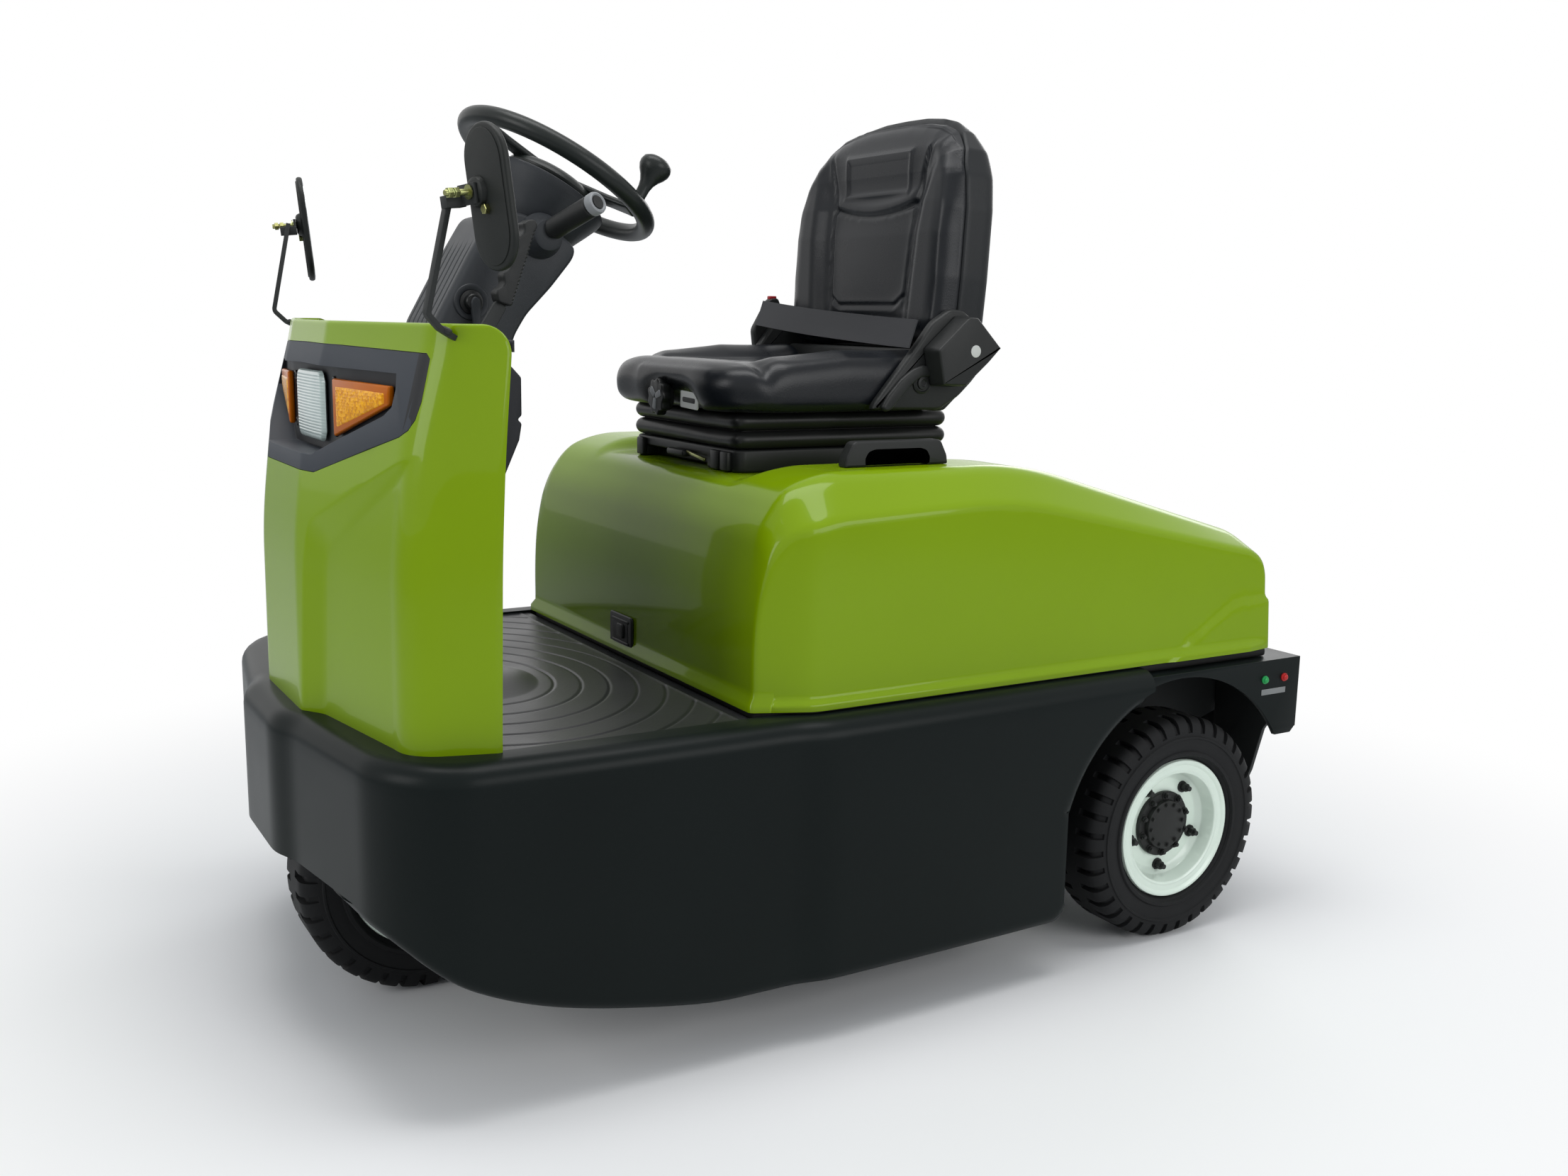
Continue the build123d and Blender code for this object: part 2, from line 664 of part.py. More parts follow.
spoke_turns = [10, 130, -110]
knob_turn = 124
with BuildPart() as steering_wheel:
    with BuildSketch(wheel_section):
        with Locations((ring_r, 0)):
            Circle(ring_tube_r)
    revolve(axis=Axis(wheel_plane.origin, column_axis))
    with BuildSketch(wheel_section):
        with BuildLine():
            Polyline((0, bowl_top + body_gap), (72, bowl_top + body_gap), (74, -14), (58, -3), (0, 2), close=True)
        make_face()
    revolve(axis=Axis(wheel_plane.origin, column_axis))
    for turn in spoke_turns:
        with BuildSketch(wheel_plane.offset(-10)):
            with Locations(Location((0, 0, 0), (0, 0, turn))):
                with Locations((ring_r / 2 + 15, 0)):
                    Rectangle(ring_r - 40, 30)
        extrude(amount=9)
    knob_at = wheel_plane.from_local_coords(
        Vector(ring_r * cos(radians(knob_turn)), ring_r * sin(radians(knob_turn)), 0))
    knob_section = Plane(origin=knob_at, x_dir=wheel_plane.x_dir, z_dir=(0, -1, 0))
    with BuildSketch(knob_section):
        with BuildLine():
            Polyline((0, 0), (9, 0), (9, 30), (14, 40), (22, 52), (24, 62), (18, 72), (0, 75), close=True)
        make_face()
    revolve(axis=Axis(knob_at, column_axis))
steering_wheel.part.label = "steering_wheel"
export_step(steering_wheel.part, "parts/steering_wheel.step")

# Controls on the column's left: direction stalk, key lever, and the parking brake lever on the dash
stalk_from = Vector(axle_x + 966, 106, 1138)
stalk_to = Vector(axle_x + 929, 200, 1177)
with BuildPart() as column_switches:
    with BuildSketch(Plane(origin=(axle_x + 968, column_half_w + body_gap, 1133), z_dir=(0, 1, 0))):
        Circle(32)
    extrude(amount=34, taper=18)
    with BuildSketch(Plane(origin=stalk_from, z_dir=stalk_to - stalk_from)):
        Circle(15)
    extrude(amount=(stalk_to - stalk_from).length)
    with BuildSketch(Plane(origin=(axle_x + 1074, column_half_w + body_gap, 1037), z_dir=(0, 1, 0))):
        Circle(15)
    extrude(amount=12)
    with BuildSketch(Plane(origin=(axle_x + 1074, column_half_w + 8, 1037), z_dir=(0, 1, 0))):
        with Locations((-4, -22)):
            Rectangle(9, 44)
    extrude(amount=10)
column_switches.part.label = "column_switches"
export_step(column_switches.part, "parts/column_switches.step")

brake_y = 150
with BuildPart() as brake_lever:
    with BuildSketch(side(brake_y + 13)):
        with BuildLine():
            Polyline((1084, 1042), (1056, 1029), (1001, 1138), (1008, 1152), (1020, 1150), close=True)
        make_face()
    extrude(amount=26)
    with BuildSketch(side(brake_y + 4)):
        with BuildLine():
            Polyline((1078, 1040), (1060, 1031), (1086, 966), (dash_x - body_gap, 958), (dash_x - body_gap, 985),
                     close=True)
        make_face()
    extrude(amount=8)
brake_lever.part.label = "brake_lever"
export_step(brake_lever.part, "parts/brake_lever.step")

# columns: y of the pedal, width
pedal_rows = [(-125, 70), (-215, 60)]
with BuildPart() as pedals:
    for y, width in pedal_rows:
        with BuildSketch(side(y + width / 2)):
            with BuildLine():
                Polyline((990, mat_top_z + body_gap), (1030, mat_top_z + body_gap), (1034, 492), (1112, 548),
                         (1108, 556), (1000, 482), close=True)
            make_face()
        extrude(amount=width)
pedals.part.label = "pedals"
export_step(pedals.part, "parts/pedals.step")

# Mirrors: long round-ended heads, tipped and toed in, each on a bent flat arm at the cowl's top corner
mirror_at = (1181, 455, 1154.5)
mirror_w = 85
mirror_h = 170
mirror_t = 10
mirror_toe = 13
mirror_pitch = 5.5
mirror_roll = 4
boss_r = 19
boss_t = 9
toe, pitch, roll = radians(mirror_toe), radians(mirror_pitch), radians(mirror_roll)
across = Vector(-sin(toe), cos(toe), 0)
ahead = Vector(cos(toe), sin(toe), 0) * cos(pitch) - Vector(0, 0, sin(pitch))
upward = ahead.cross(across)
mirror_back = Plane(origin=(axle_x + mirror_at[0], mirror_at[1], mirror_at[2]),
                    x_dir=across * cos(roll) + upward * sin(roll), z_dir=ahead)
with BuildPart() as mirrors:
    with BuildSketch(mirror_back):
        SlotOverall(mirror_h, mirror_w, rotation=90)
    extrude(amount=-mirror_t)
    with BuildSketch(mirror_back):
        with Locations((-16, 8)):
            Circle(boss_r)
    extrude(amount=boss_t)
    mirror(about=side(0))
mirrors.part.label = "mirrors"
export_step(mirrors.part, "parts/mirrors.step")

arm_w = 10
arm_t = 7
# columns: x, y, z of the left arm's bends, from the cowl's corner to the tab behind the boss
arm_route = [(1205, 394, 992), (1226, 404, 1003), (1243, 409, 1020), (1213, 414, 1161)]
tab_t = 4
with BuildPart() as mirror_arms:
    points = [Vector(axle_x + x, y, z) for x, y, z in arm_route]
    with BuildLine() as centre_line:
        FilletPolyline(*points, radius=9)
    with BuildSketch(Plane(origin=points[0], x_dir=(0, 1, 0), z_dir=points[1] - points[0])):
        Rectangle(arm_w, arm_t)
    sweep(path=centre_line.line)
    tab_at = mirror_back.from_local_coords(Vector(-16, 8, boss_t + body_gap))
    with BuildSketch(Plane(origin=tab_at, x_dir=mirror_back.x_dir, z_dir=mirror_back.z_dir)):
        with Locations((-8, -2)):
            Rectangle(36, 24)
    extrude(amount=tab_t)
    with BuildSketch(Plane(origin=tab_at, x_dir=mirror_back.x_dir, z_dir=mirror_back.z_dir)):
        with Locations((-24, -8)):
            Rectangle(14, 14)
    extrude(amount=26)
    mirror(about=side(0))
    add(cowl_block(-body_gap), mode=Mode.SUBTRACT)
mirror_arms.part.label = "mirror_arms"
export_step(mirror_arms.part, "parts/mirror_arms.step")

# Battery, one plain block in the well under the hood
with BuildPart() as battery:
    with BuildSketch(plan.offset(battery_z[0])):
        with Locations(((battery_x[0] + battery_x[1]) / 2, 0)):
            Rectangle(battery_x[1] - battery_x[0], 2 * battery_half_w)
    extrude(amount=battery_z[1] - battery_z[0])
battery.part.label = "battery"
export_step(battery.part, "parts/battery.step")

# Drive axle: tube, gear case, motor, and pads under the rear rails
axle_tube_r = 36
with BuildPart() as drive_axle:
    with BuildSketch(side(0)):
        with Locations((0, tyre_r)):
            Circle(axle_tube_r)
    extrude(amount=track / 2 + hub_inner - body_gap, both=True)
    with BuildSketch(side(0)):
        with Locations((0, tyre_r)):
            Circle(108)
    extrude(amount=75, both=True)
    with BuildSketch(front(90)):
        with Locations((0, tyre_r + 20)):
            Circle(80)
    extrude(amount=190)
    with BuildSketch(front(0)):
        with Locations((0, tyre_r + 20)):
            Circle(60)
    extrude(amount=90)
    for y in (rear_rail_y + 15, -rear_rail_y + 40):
        with BuildSketch(side(y)):
            with Locations((0, (tyre_r + rail_low_z - body_gap) / 2)):
                Rectangle(90, rail_low_z - body_gap - tyre_r)
        extrude(amount=55)
drive_axle.part.label = "drive_axle"
export_step(drive_axle.part, "parts/drive_axle.step")

# Steering fork: kingpin in the frame's head, crown over the wheel, legs and stub axles
crown_z = 396
leg_gap = 10
leg_t = 14
with BuildPart() as front_fork:
    with BuildSketch(plan.offset(crown_z)):
        with Locations((wheelbase, 0)):
            Rectangle(110, tyre_w + 2 * (leg_gap + leg_t))
    extrude(amount=steer_head_z - body_gap - crown_z)
    with BuildSketch(plan.offset(crown_z)):
        with Locations((wheelbase, 0)):
            Circle(kingpin_r)
    extrude(amount=frame_top_z - 2 - crown_z)
    for y in (tyre_w / 2 + leg_gap + leg_t, -tyre_w / 2 - leg_gap):
        with BuildSketch(side(y)):
            with BuildLine():
                Polyline((wheelbase - 28, tyre_r), (wheelbase - 55, crown_z), (wheelbase + 55, crown_z),
                         (wheelbase + 28, tyre_r), close=True)
            make_face()
            with Locations((wheelbase, tyre_r)):
                Circle(28)
        extrude(amount=leg_t)
    for end, reach in ((tyre_w / 2 + leg_gap, hub_outer), (-tyre_w / 2 - leg_gap, hub_inner)):
        with BuildSketch(side(end)):
            with Locations((wheelbase, tyre_r)):
                Circle(20)
        extrude(amount=end - reach - (body_gap if end > 0 else -body_gap))
front_fork.part.label = "front_fork"
export_step(front_fork.part, "parts/front_fork.step")

# Tow coupling: jaw bolted to the frame's rear plate, with a drop-in pin
jaw_z = (250, 316)
jaw_t = 16
jaw_half_w = 60
pin_x = -302
plate_h = 180
plate_w = 150
flange_t = 12
pin_r = 14
pin_clearance = 1
coupling_rear_x = -rear_overhang
with BuildPart() as tow_coupling:
    with BuildSketch(front(rear_plate_x - frame_plate_t - body_gap)):
        with Locations((0, tow_z)):
            Rectangle(plate_w, plate_h)
    extrude(amount=-flange_t)
    for z in jaw_z:
        with BuildSketch(plan.offset(z)):
            with BuildLine():
                Polyline((rear_plate_x - frame_plate_t - 2, jaw_half_w + 8), (pin_x, jaw_half_w - 10),
                         (coupling_rear_x, 30), (coupling_rear_x, -30), (pin_x, -jaw_half_w + 10),
                         (rear_plate_x - frame_plate_t - 2, -jaw_half_w - 8), close=True)
            make_face()
            with Locations((pin_x, 0)):
                Circle(pin_r + pin_clearance, mode=Mode.SUBTRACT)
        extrude(amount=jaw_t)
tow_coupling.part.label = "tow_coupling"
export_step(tow_coupling.part, "parts/tow_coupling.step")

with BuildPart() as tow_pin:
    with BuildSketch(plan.offset(jaw_z[0] - 12)):
        with Locations((pin_x, 0)):
            Circle(pin_r)
    extrude(amount=jaw_z[1] + jaw_t + body_gap - jaw_z[0] + 12)
    with BuildSketch(plan.offset(jaw_z[1] + jaw_t + body_gap)):
        with Locations((pin_x, 0)):
            Circle(pin_r + 8)
    extrude(amount=14)
    with BuildSketch(side(6)):
        with Locations((pin_x, jaw_z[1] + jaw_t + 30)):
            Circle(24)
            Circle(15, mode=Mode.SUBTRACT)
    extrude(amount=12)
tow_pin.part.label = "tow_pin"
export_step(tow_pin.part, "parts/tow_pin.step")

# Hood furniture: grab handle on the left shoulder and a recessed latch low on the front
grab_y = 340
grab_w = 22
grab_x = (424, 609)
grab_top_z = 846
with BuildPart() as grab_handle:
    with BuildSketch(side(grab_y + grab_w / 2)):
        with BuildLine():
            Polyline((grab_x[1], hood_top_z + body_gap), (grab_x[1] - 2, 822), (grab_x[1] - 17, grab_top_z),
                     (grab_x[0] + 17, grab_top_z), (grab_x[0] + 2, 822), (grab_x[0], hood_top_z + body_gap),
                     (grab_x[0] + 38, hood_top_z + body_gap), (grab_x[0] + 38, 820), (grab_x[0] + 48, 831),
                     (grab_x[1] - 48, 831), (grab_x[1] - 38, 820), (grab_x[1] - 38, hood_top_z + body_gap),
                     close=True)
        make_face()
    extrude(amount=grab_w)
grab_handle.part.label = "grab_handle"
export_step(grab_handle.part, "parts/grab_handle.step")

latch_at = (-18, 514)
with BuildPart() as hood_latch:
    with BuildSketch(front(hood_front_x + body_gap)):
        with Locations(latch_at):
            RectangleRounded(84, 56, 8)
    extrude(amount=5)
    with BuildSketch(front(hood_front_x + body_gap + 2)):
        with Locations(latch_at):
            RectangleRounded(62, 40, 4)
    extrude(amount=5, mode=Mode.SUBTRACT)
    with BuildSketch(front(hood_front_x + body_gap + 2)):
        with Locations((latch_at[0], latch_at[1] + 2)):
            RectangleRounded(50, 22, 3)
    extrude(amount=4)
hood_latch.part.label = "hood_latch"
export_step(hood_latch.part, "parts/hood_latch.step")

# Seat: suspension base, bellows, cushion, back with its shell, side covers, lap belt
seat_rear_x = 300
seat_front_x = 700
base_z = (channel_z + body_gap, 822)
bellows_z = (base_z[1] + body_gap, 879)
bellows_half_w = 188
with BuildPart() as seat_base:
    with BuildSketch(plan.offset(base_z[0])):
        with Locations(((seat_rear_x + seat_front_x) / 2, 0)):
            RectangleRounded(seat_front_x - seat_rear_x - 10, 2 * bellows_half_w - 10, 16)
    extrude(amount=base_z[1] - base_z[0])
    with BuildSketch(front(seat_front_x - 30)):
        with Locations((-30, base_z[0] + 8)):
            Rectangle(220, 20)
    extrude(amount=40, mode=Mode.SUBTRACT)
seat_base.part.label = "seat_base"
export_step(seat_base.part, "parts/seat_base.step")

with BuildPart() as seat_bellows:
    rib_h = (bellows_z[1] - bellows_z[0]) / 2
    for step in range(2):
        with BuildSketch(plan.offset(bellows_z[0] + step * rib_h)):
            with Locations(((seat_rear_x + seat_front_x) / 2, 0)):
                RectangleRounded(seat_front_x - seat_rear_x, 2 * bellows_half_w, 26)
        extrude(amount=rib_h)
    rib_edges = seat_bellows.edges().filter_by(Plane.XY)
    fillet(rib_edges.group_by(Axis.Z)[0] + rib_edges.group_by(Axis.Z)[-1], rib_h / 3)
seat_bellows.part.label = "seat_bellows"
export_step(seat_bellows.part, "parts/seat_bellows.step")

cushion_z = bellows_z[1] + body_gap
cushion_rear_x = 372
cushion_front_x = 746
seat_half_w = 232
cushion_corner_r = 70
bolster_w = 58
notch_x = 722
notch_y = (-62, 138)
notch_h = 48
with BuildPart() as seat_cushion:
    with BuildSketch(side(0)):
        with BuildLine():
            Polyline((cushion_rear_x, cushion_z), (715, cushion_z), (738, cushion_z + 12),
                     (cushion_front_x, cushion_z + 45), (cushion_front_x - 6, 950), (718, 965), (640, 960), (560, 955),
                     (cushion_rear_x, 966), close=True)
        make_face()
    extrude(amount=seat_half_w, both=True)
    for y in (seat_half_w, -seat_half_w + bolster_w):
        with BuildSketch(side(y)):
            with BuildLine():
                Polyline((cushion_rear_x, 950), (cushion_rear_x, 977), (527, 977), (650, 960), (650, 950), close=True)
            make_face()
        extrude(amount=bolster_w)
    with BuildSketch(plan.offset(cushion_z)) as cushion_plan:
        with Locations(((cushion_rear_x + cushion_front_x) / 2, 0)):
            Rectangle(cushion_front_x - cushion_rear_x, 2 * seat_half_w)
        fillet(cushion_plan.vertices().sort_by(Axis.X)[-2:], cushion_corner_r)
    extrude(amount=120, mode=Mode.INTERSECT)
    # notch in the front for the weight knob and its scale
    with BuildSketch(front(notch_x)):
        with Locations(((notch_y[0] + notch_y[1]) / 2, cushion_z)):
            Rectangle(notch_y[1] - notch_y[0], 2 * notch_h)
    extrude(amount=60, mode=Mode.SUBTRACT)
seat_cushion.part.label = "seat_cushion"
export_step(seat_cushion.part, "parts/seat_cushion.step")

back_lean = 3.5
lean = radians(back_lean)
back_at = (371, 962)
back_plane = Plane(origin=(axle_x + back_at[0], 0, back_at[1]), x_dir=(0, 1, 0), z_dir=(cos(lean), 0, sin(lean)))
back_profile_plane = Plane(origin=back_plane.origin, x_dir=back_plane.z_dir, z_dir=(0, -1, 0))
back_foot = 16
back_top = 400
seam_depth = 34
back_depth = 98
# columns: y, height up the back
back_half = [(0, back_foot), (205, back_foot), (230, 60), (230, 240), (222, 292), (200, 336), (150, 380), (90, 397),
             (0, back_top + 2)]
# columns: depth behind the front plane, height up the back
pad_profile = [(0, back_foot), (0, 240), (-10, 300), (-seam_depth, 384), (-seam_depth, back_foot)]
shell_profile = [(-seam_depth - body_gap, back_foot), (-seam_depth - body_gap, 384), (-52, 396), (-70, back_top),
                 (-88, 392), (-back_depth, 350), (-back_depth, back_foot)]


def back_piece(profile):
    """Piece of the seat back: the outline of the back, cut to the given side profile."""
    with BuildPart() as piece:
        with BuildSketch(back_plane.offset(20)):
            with BuildLine():
                Polyline(*back_half, close=True)
            make_face()
            mirror(about=Plane.YZ)
        extrude(amount=-back_depth - 40)
        with BuildSketch(back_profile_plane):
            with BuildLine():
                Polyline(*profile, close=True)
            make_face()
        extrude(amount=seat_half_w, both=True, mode=Mode.INTERSECT)
    return piece.part


with BuildPart() as seat_back:
    add(back_piece(pad_profile))
seat_back.part.label = "seat_back"
export_step(seat_back.part, "parts/seat_back.step")
with BuildPart() as seat_back_shell:
    add(back_piece(shell_profile))
seat_back_shell.part.label = "seat_back_shell"
export_step(seat_back_shell.part, "parts/seat_back_shell.step")

cover_t = 18
cover_y = (seat_half_w + body_gap, seat_half_w + body_gap + cover_t)
foot_x = (back_at[0] - 12, back_at[0] - 92)
foot_z = [back_at[1] + back_foot - (back_at[0] - x) * sin(lean) - 2 * body_gap for x in foot_x]
with BuildPart() as seat_frame:
    with BuildSketch(side(0)):
        with BuildLine():
            Polyline((foot_x[1] + 30, cushion_z), (cushion_rear_x - body_gap, cushion_z),
                     (cushion_rear_x - body_gap, 950), (foot_x[0], foot_z[0]), (foot_x[1], foot_z[1]),
                     (foot_x[1], foot_z[1] - 40), close=True)
        make_face()
    extrude(amount=seat_half_w, both=True)
seat_frame.part.label = "seat_frame"
export_step(seat_frame.part, "parts/seat_frame.step")

# columns: x, z round the recliner cover
cover_edge = [(497, 884), (490, 896), (421, 975), (386, 1019), (352, 1040), (325, 1038), (290, 1010), (276, 975),
              (300, 930), (330, 903), (368, 882)]
with BuildPart() as seat_side_covers:
    for y in (cover_y[1], -cover_y[0]):
        with BuildSketch(side(y)):
            with BuildLine():
                Polyline(*cover_edge, close=True)
            make_face()
        extrude(amount=cover_t)
seat_side_covers.part.label = "seat_side_covers"
export_step(seat_side_covers.part, "parts/seat_side_covers.step")

# columns: x, z round the belt retractor, and round the buckle on the other side
retractor_edge = [(405, 978), (345, 1030), (325, 1030), (274, 980), (300, 955), (345, 918), (392, 920)]
buckle_edge = [(440, 960), (424, 1058), (380, 1056), (398, 955)]
retractor_t = 38
buckle_t = 26
with BuildPart() as belt_fittings:
    with BuildSketch(side(cover_y[1] + body_gap)):
        with BuildLine():
            Polyline(*retractor_edge, close=True)
        make_face()
    extrude(amount=-retractor_t, taper=6)
    with BuildSketch(side(-cover_y[1] - body_gap)):
        with BuildLine():
            Polyline(*buckle_edge, close=True)
        make_face()
    extrude(amount=buckle_t)
belt_fittings.part.label = "belt_fittings"
export_step(belt_fittings.part, "parts/belt_fittings.step")

belt_w = 46
belt_t = 3
belt_at = (414, 1014)
belt_fall = 0.059
belt_plane = Plane(origin=(axle_x + belt_at[0], 0, belt_at[1]), x_dir=(belt_fall * 0.304, 1, -belt_fall),
                   z_dir=(0.957, 0, 0.291))
with BuildPart() as lap_belt:
    with BuildSketch(belt_plane):
        Rectangle(2 * cover_y[1] - 2, belt_w)
    extrude(amount=belt_t)
lap_belt.part.label = "lap_belt"
export_step(lap_belt.part, "parts/lap_belt.step")

knob_z = 895
knob_r = 30
with BuildPart() as seat_knob:
    with BuildSketch(front(notch_x + body_gap)):
        with Locations((0, knob_z)):
            Circle(knob_r)
    extrude(amount=25)
seat_knob.part.label = "seat_knob"
export_step(seat_knob.part, "parts/seat_knob.step")
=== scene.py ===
import json
import math

import bmesh
import bpy
import numpy as np
from mathutils import Matrix, Vector


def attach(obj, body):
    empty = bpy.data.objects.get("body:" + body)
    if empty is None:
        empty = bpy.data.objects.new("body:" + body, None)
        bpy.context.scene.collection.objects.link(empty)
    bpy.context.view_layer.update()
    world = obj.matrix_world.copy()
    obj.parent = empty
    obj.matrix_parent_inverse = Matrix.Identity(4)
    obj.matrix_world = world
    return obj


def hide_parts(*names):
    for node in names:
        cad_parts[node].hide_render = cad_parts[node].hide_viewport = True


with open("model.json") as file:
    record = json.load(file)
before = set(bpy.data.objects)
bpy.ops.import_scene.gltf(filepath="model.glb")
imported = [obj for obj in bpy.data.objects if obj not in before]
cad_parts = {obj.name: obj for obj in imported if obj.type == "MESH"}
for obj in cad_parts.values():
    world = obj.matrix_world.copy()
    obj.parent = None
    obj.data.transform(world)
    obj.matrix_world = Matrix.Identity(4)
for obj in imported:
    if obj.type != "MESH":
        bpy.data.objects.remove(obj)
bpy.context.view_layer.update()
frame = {"nodes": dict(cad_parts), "record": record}

# The view. The tug is seen from ahead and to its left, a little above the bonnet. The camera's place
# and turn were worked out from the photograph.
focal_mm = 34.135
yaw, pitch, roll = math.radians(30.83), math.radians(10.32), math.radians(0.94)
rear_axle_x = -0.520
eye = Vector((rear_axle_x + 1.79062, 2.16141, 1.02284))
level_forward = Vector((-math.sin(yaw), -math.cos(yaw), 0.0))
level_right = Vector((-math.cos(yaw), math.sin(yaw), 0.0))
up = Vector((0.0, 0.0, 1.0))
forward = level_forward * math.cos(pitch) - up * math.sin(pitch)
level_up = up * math.cos(pitch) + level_forward * math.sin(pitch)
camera_right = level_right * math.cos(roll) + level_up * math.sin(roll)
camera_up = level_up * math.cos(roll) - level_right * math.sin(roll)
camera_data = bpy.data.cameras.new("camera")
camera_data.lens = focal_mm
camera_data.sensor_width = 36.0
camera_data.clip_start = 0.05
camera = bpy.data.objects.new("camera", camera_data)
turn = Matrix((camera_right, camera_up, -forward)).transposed().to_4x4()
camera.matrix_world = Matrix.Translation(eye) @ turn
bpy.context.collection.objects.link(camera)
bpy.context.scene.camera = camera
bpy.context.scene.view_settings.view_transform = "Standard"

# Studio light: a big soft box overhead, a softer one on the tug's left and ahead, and a pale room.
# columns: name, place, point it faces, width, depth, power
soft_boxes = [
    ("box_above", (0.3, 0.4, 3.6), (0.0, 0.0, 0.6), 3.0, 1.2, 62),
    ("box_left", (-1.2, 4.2, 2.0), (-0.2, 0.0, 0.6), 3.0, 1.8, 55),
    ("box_ahead", (4.2, 0.6, 2.2), (0.0, 0.0, 0.7), 1.8, 1.8, 42),
    ("box_behind", (-3.6, -2.2, 2.4), (0.0, 0.0, 0.6), 2.2, 1.6, 34),
]
for box_name, place, facing, width, depth, power in soft_boxes:
    lamp_data = bpy.data.lights.new(box_name, "AREA")
    lamp_data.shape = "RECTANGLE"
    lamp_data.size, lamp_data.size_y = width, depth
    lamp_data.energy = power
    lamp = bpy.data.objects.new(box_name, lamp_data)
    aim = Vector(facing) - Vector(place)
    lamp.matrix_world = Matrix.Translation(place) @ aim.to_track_quat("-Z", "Y").to_matrix().to_4x4()
    bpy.context.collection.objects.link(lamp)

world = bpy.data.worlds.new("studio")
world.use_nodes = True
sky, links = world.node_tree.nodes, world.node_tree.links
pale = sky.new("ShaderNodeBackground")
pale.inputs["Color"].default_value = (1, 1, 1, 1)
room = sky["Background"]
room.inputs["Color"].default_value = (0.80, 0.86, 0.92, 1)
room.inputs["Strength"].default_value = 0.42
path = sky.new("ShaderNodeLightPath")
seen = sky.new("ShaderNodeMixShader")
either = sky.new("ShaderNodeMath")
any_of = sky.new("ShaderNodeMath")
any_of.use_clamp = True
links.new(path.outputs["Is Camera Ray"], either.inputs[0])
links.new(path.outputs["Is Glossy Ray"], either.inputs[1])
links.new(either.outputs[0], any_of.inputs[0])
links.new(path.outputs["Is Transmission Ray"], any_of.inputs[1])
links.new(any_of.outputs[0], seen.inputs["Fac"])
links.new(room.outputs[0], seen.inputs[1])
links.new(pale.outputs[0], seen.inputs[2])
links.new(seen.outputs[0], sky["World Output"].inputs["Surface"])
bpy.context.scene.world = world

# The studio floor is white where the camera sees it, apart from the tug's own soft shadow.
floor_mesh = bpy.data.meshes.new("floor")
reach = 60.0
floor_mesh.from_pydata([(-reach, -reach, 0), (reach, -reach, 0), (reach, reach, 0), (-reach, reach, 0)], [],
                       [(0, 1, 2, 3)])
floor = bpy.data.objects.new("floor", floor_mesh)
bpy.context.collection.objects.link(floor)
floor_paint = bpy.data.materials.new("studio_floor")
floor_paint.use_nodes = True
nodes, links = floor_paint.node_tree.nodes, floor_paint.node_tree.links
nodes["Principled BSDF"].inputs["Base Color"].default_value = (0.9, 0.9, 0.9, 1)
nodes["Principled BSDF"].inputs["Roughness"].default_value = 0.9
# Past the shadow's reach the floor shows as plain white, so that it has no horizon.
glow = nodes.new("ShaderNodeEmission")
where = nodes.new("ShaderNodeTexCoord")
far_off = nodes.new("ShaderNodeVectorMath")
far_off.operation = "LENGTH"
fade = nodes.new("ShaderNodeMapRange")
fade.inputs["From Min"].default_value = 0.7
fade.inputs["From Max"].default_value = 2.1
fade.interpolation_type = "SMOOTHSTEP"
path = nodes.new("ShaderNodeLightPath")
share = nodes.new("ShaderNodeMath")
share.operation = "MULTIPLY"
plain = nodes.new("ShaderNodeMixShader")
links.new(where.outputs["Object"], far_off.inputs[0])
links.new(far_off.outputs["Value"], fade.inputs["Value"])
links.new(fade.outputs[0], share.inputs[0])
links.new(path.outputs["Is Camera Ray"], share.inputs[1])
links.new(share.outputs[0], plain.inputs["Fac"])
links.new(nodes["Principled BSDF"].outputs[0], plain.inputs[1])
links.new(glow.outputs[0], plain.inputs[2])
links.new(plain.outputs[0], nodes["Material Output"].inputs["Surface"])
floor_mesh.materials.append(floor_paint)

# Frame: welded plates in black powder coat under the deck, with a little road dust on what faces up.


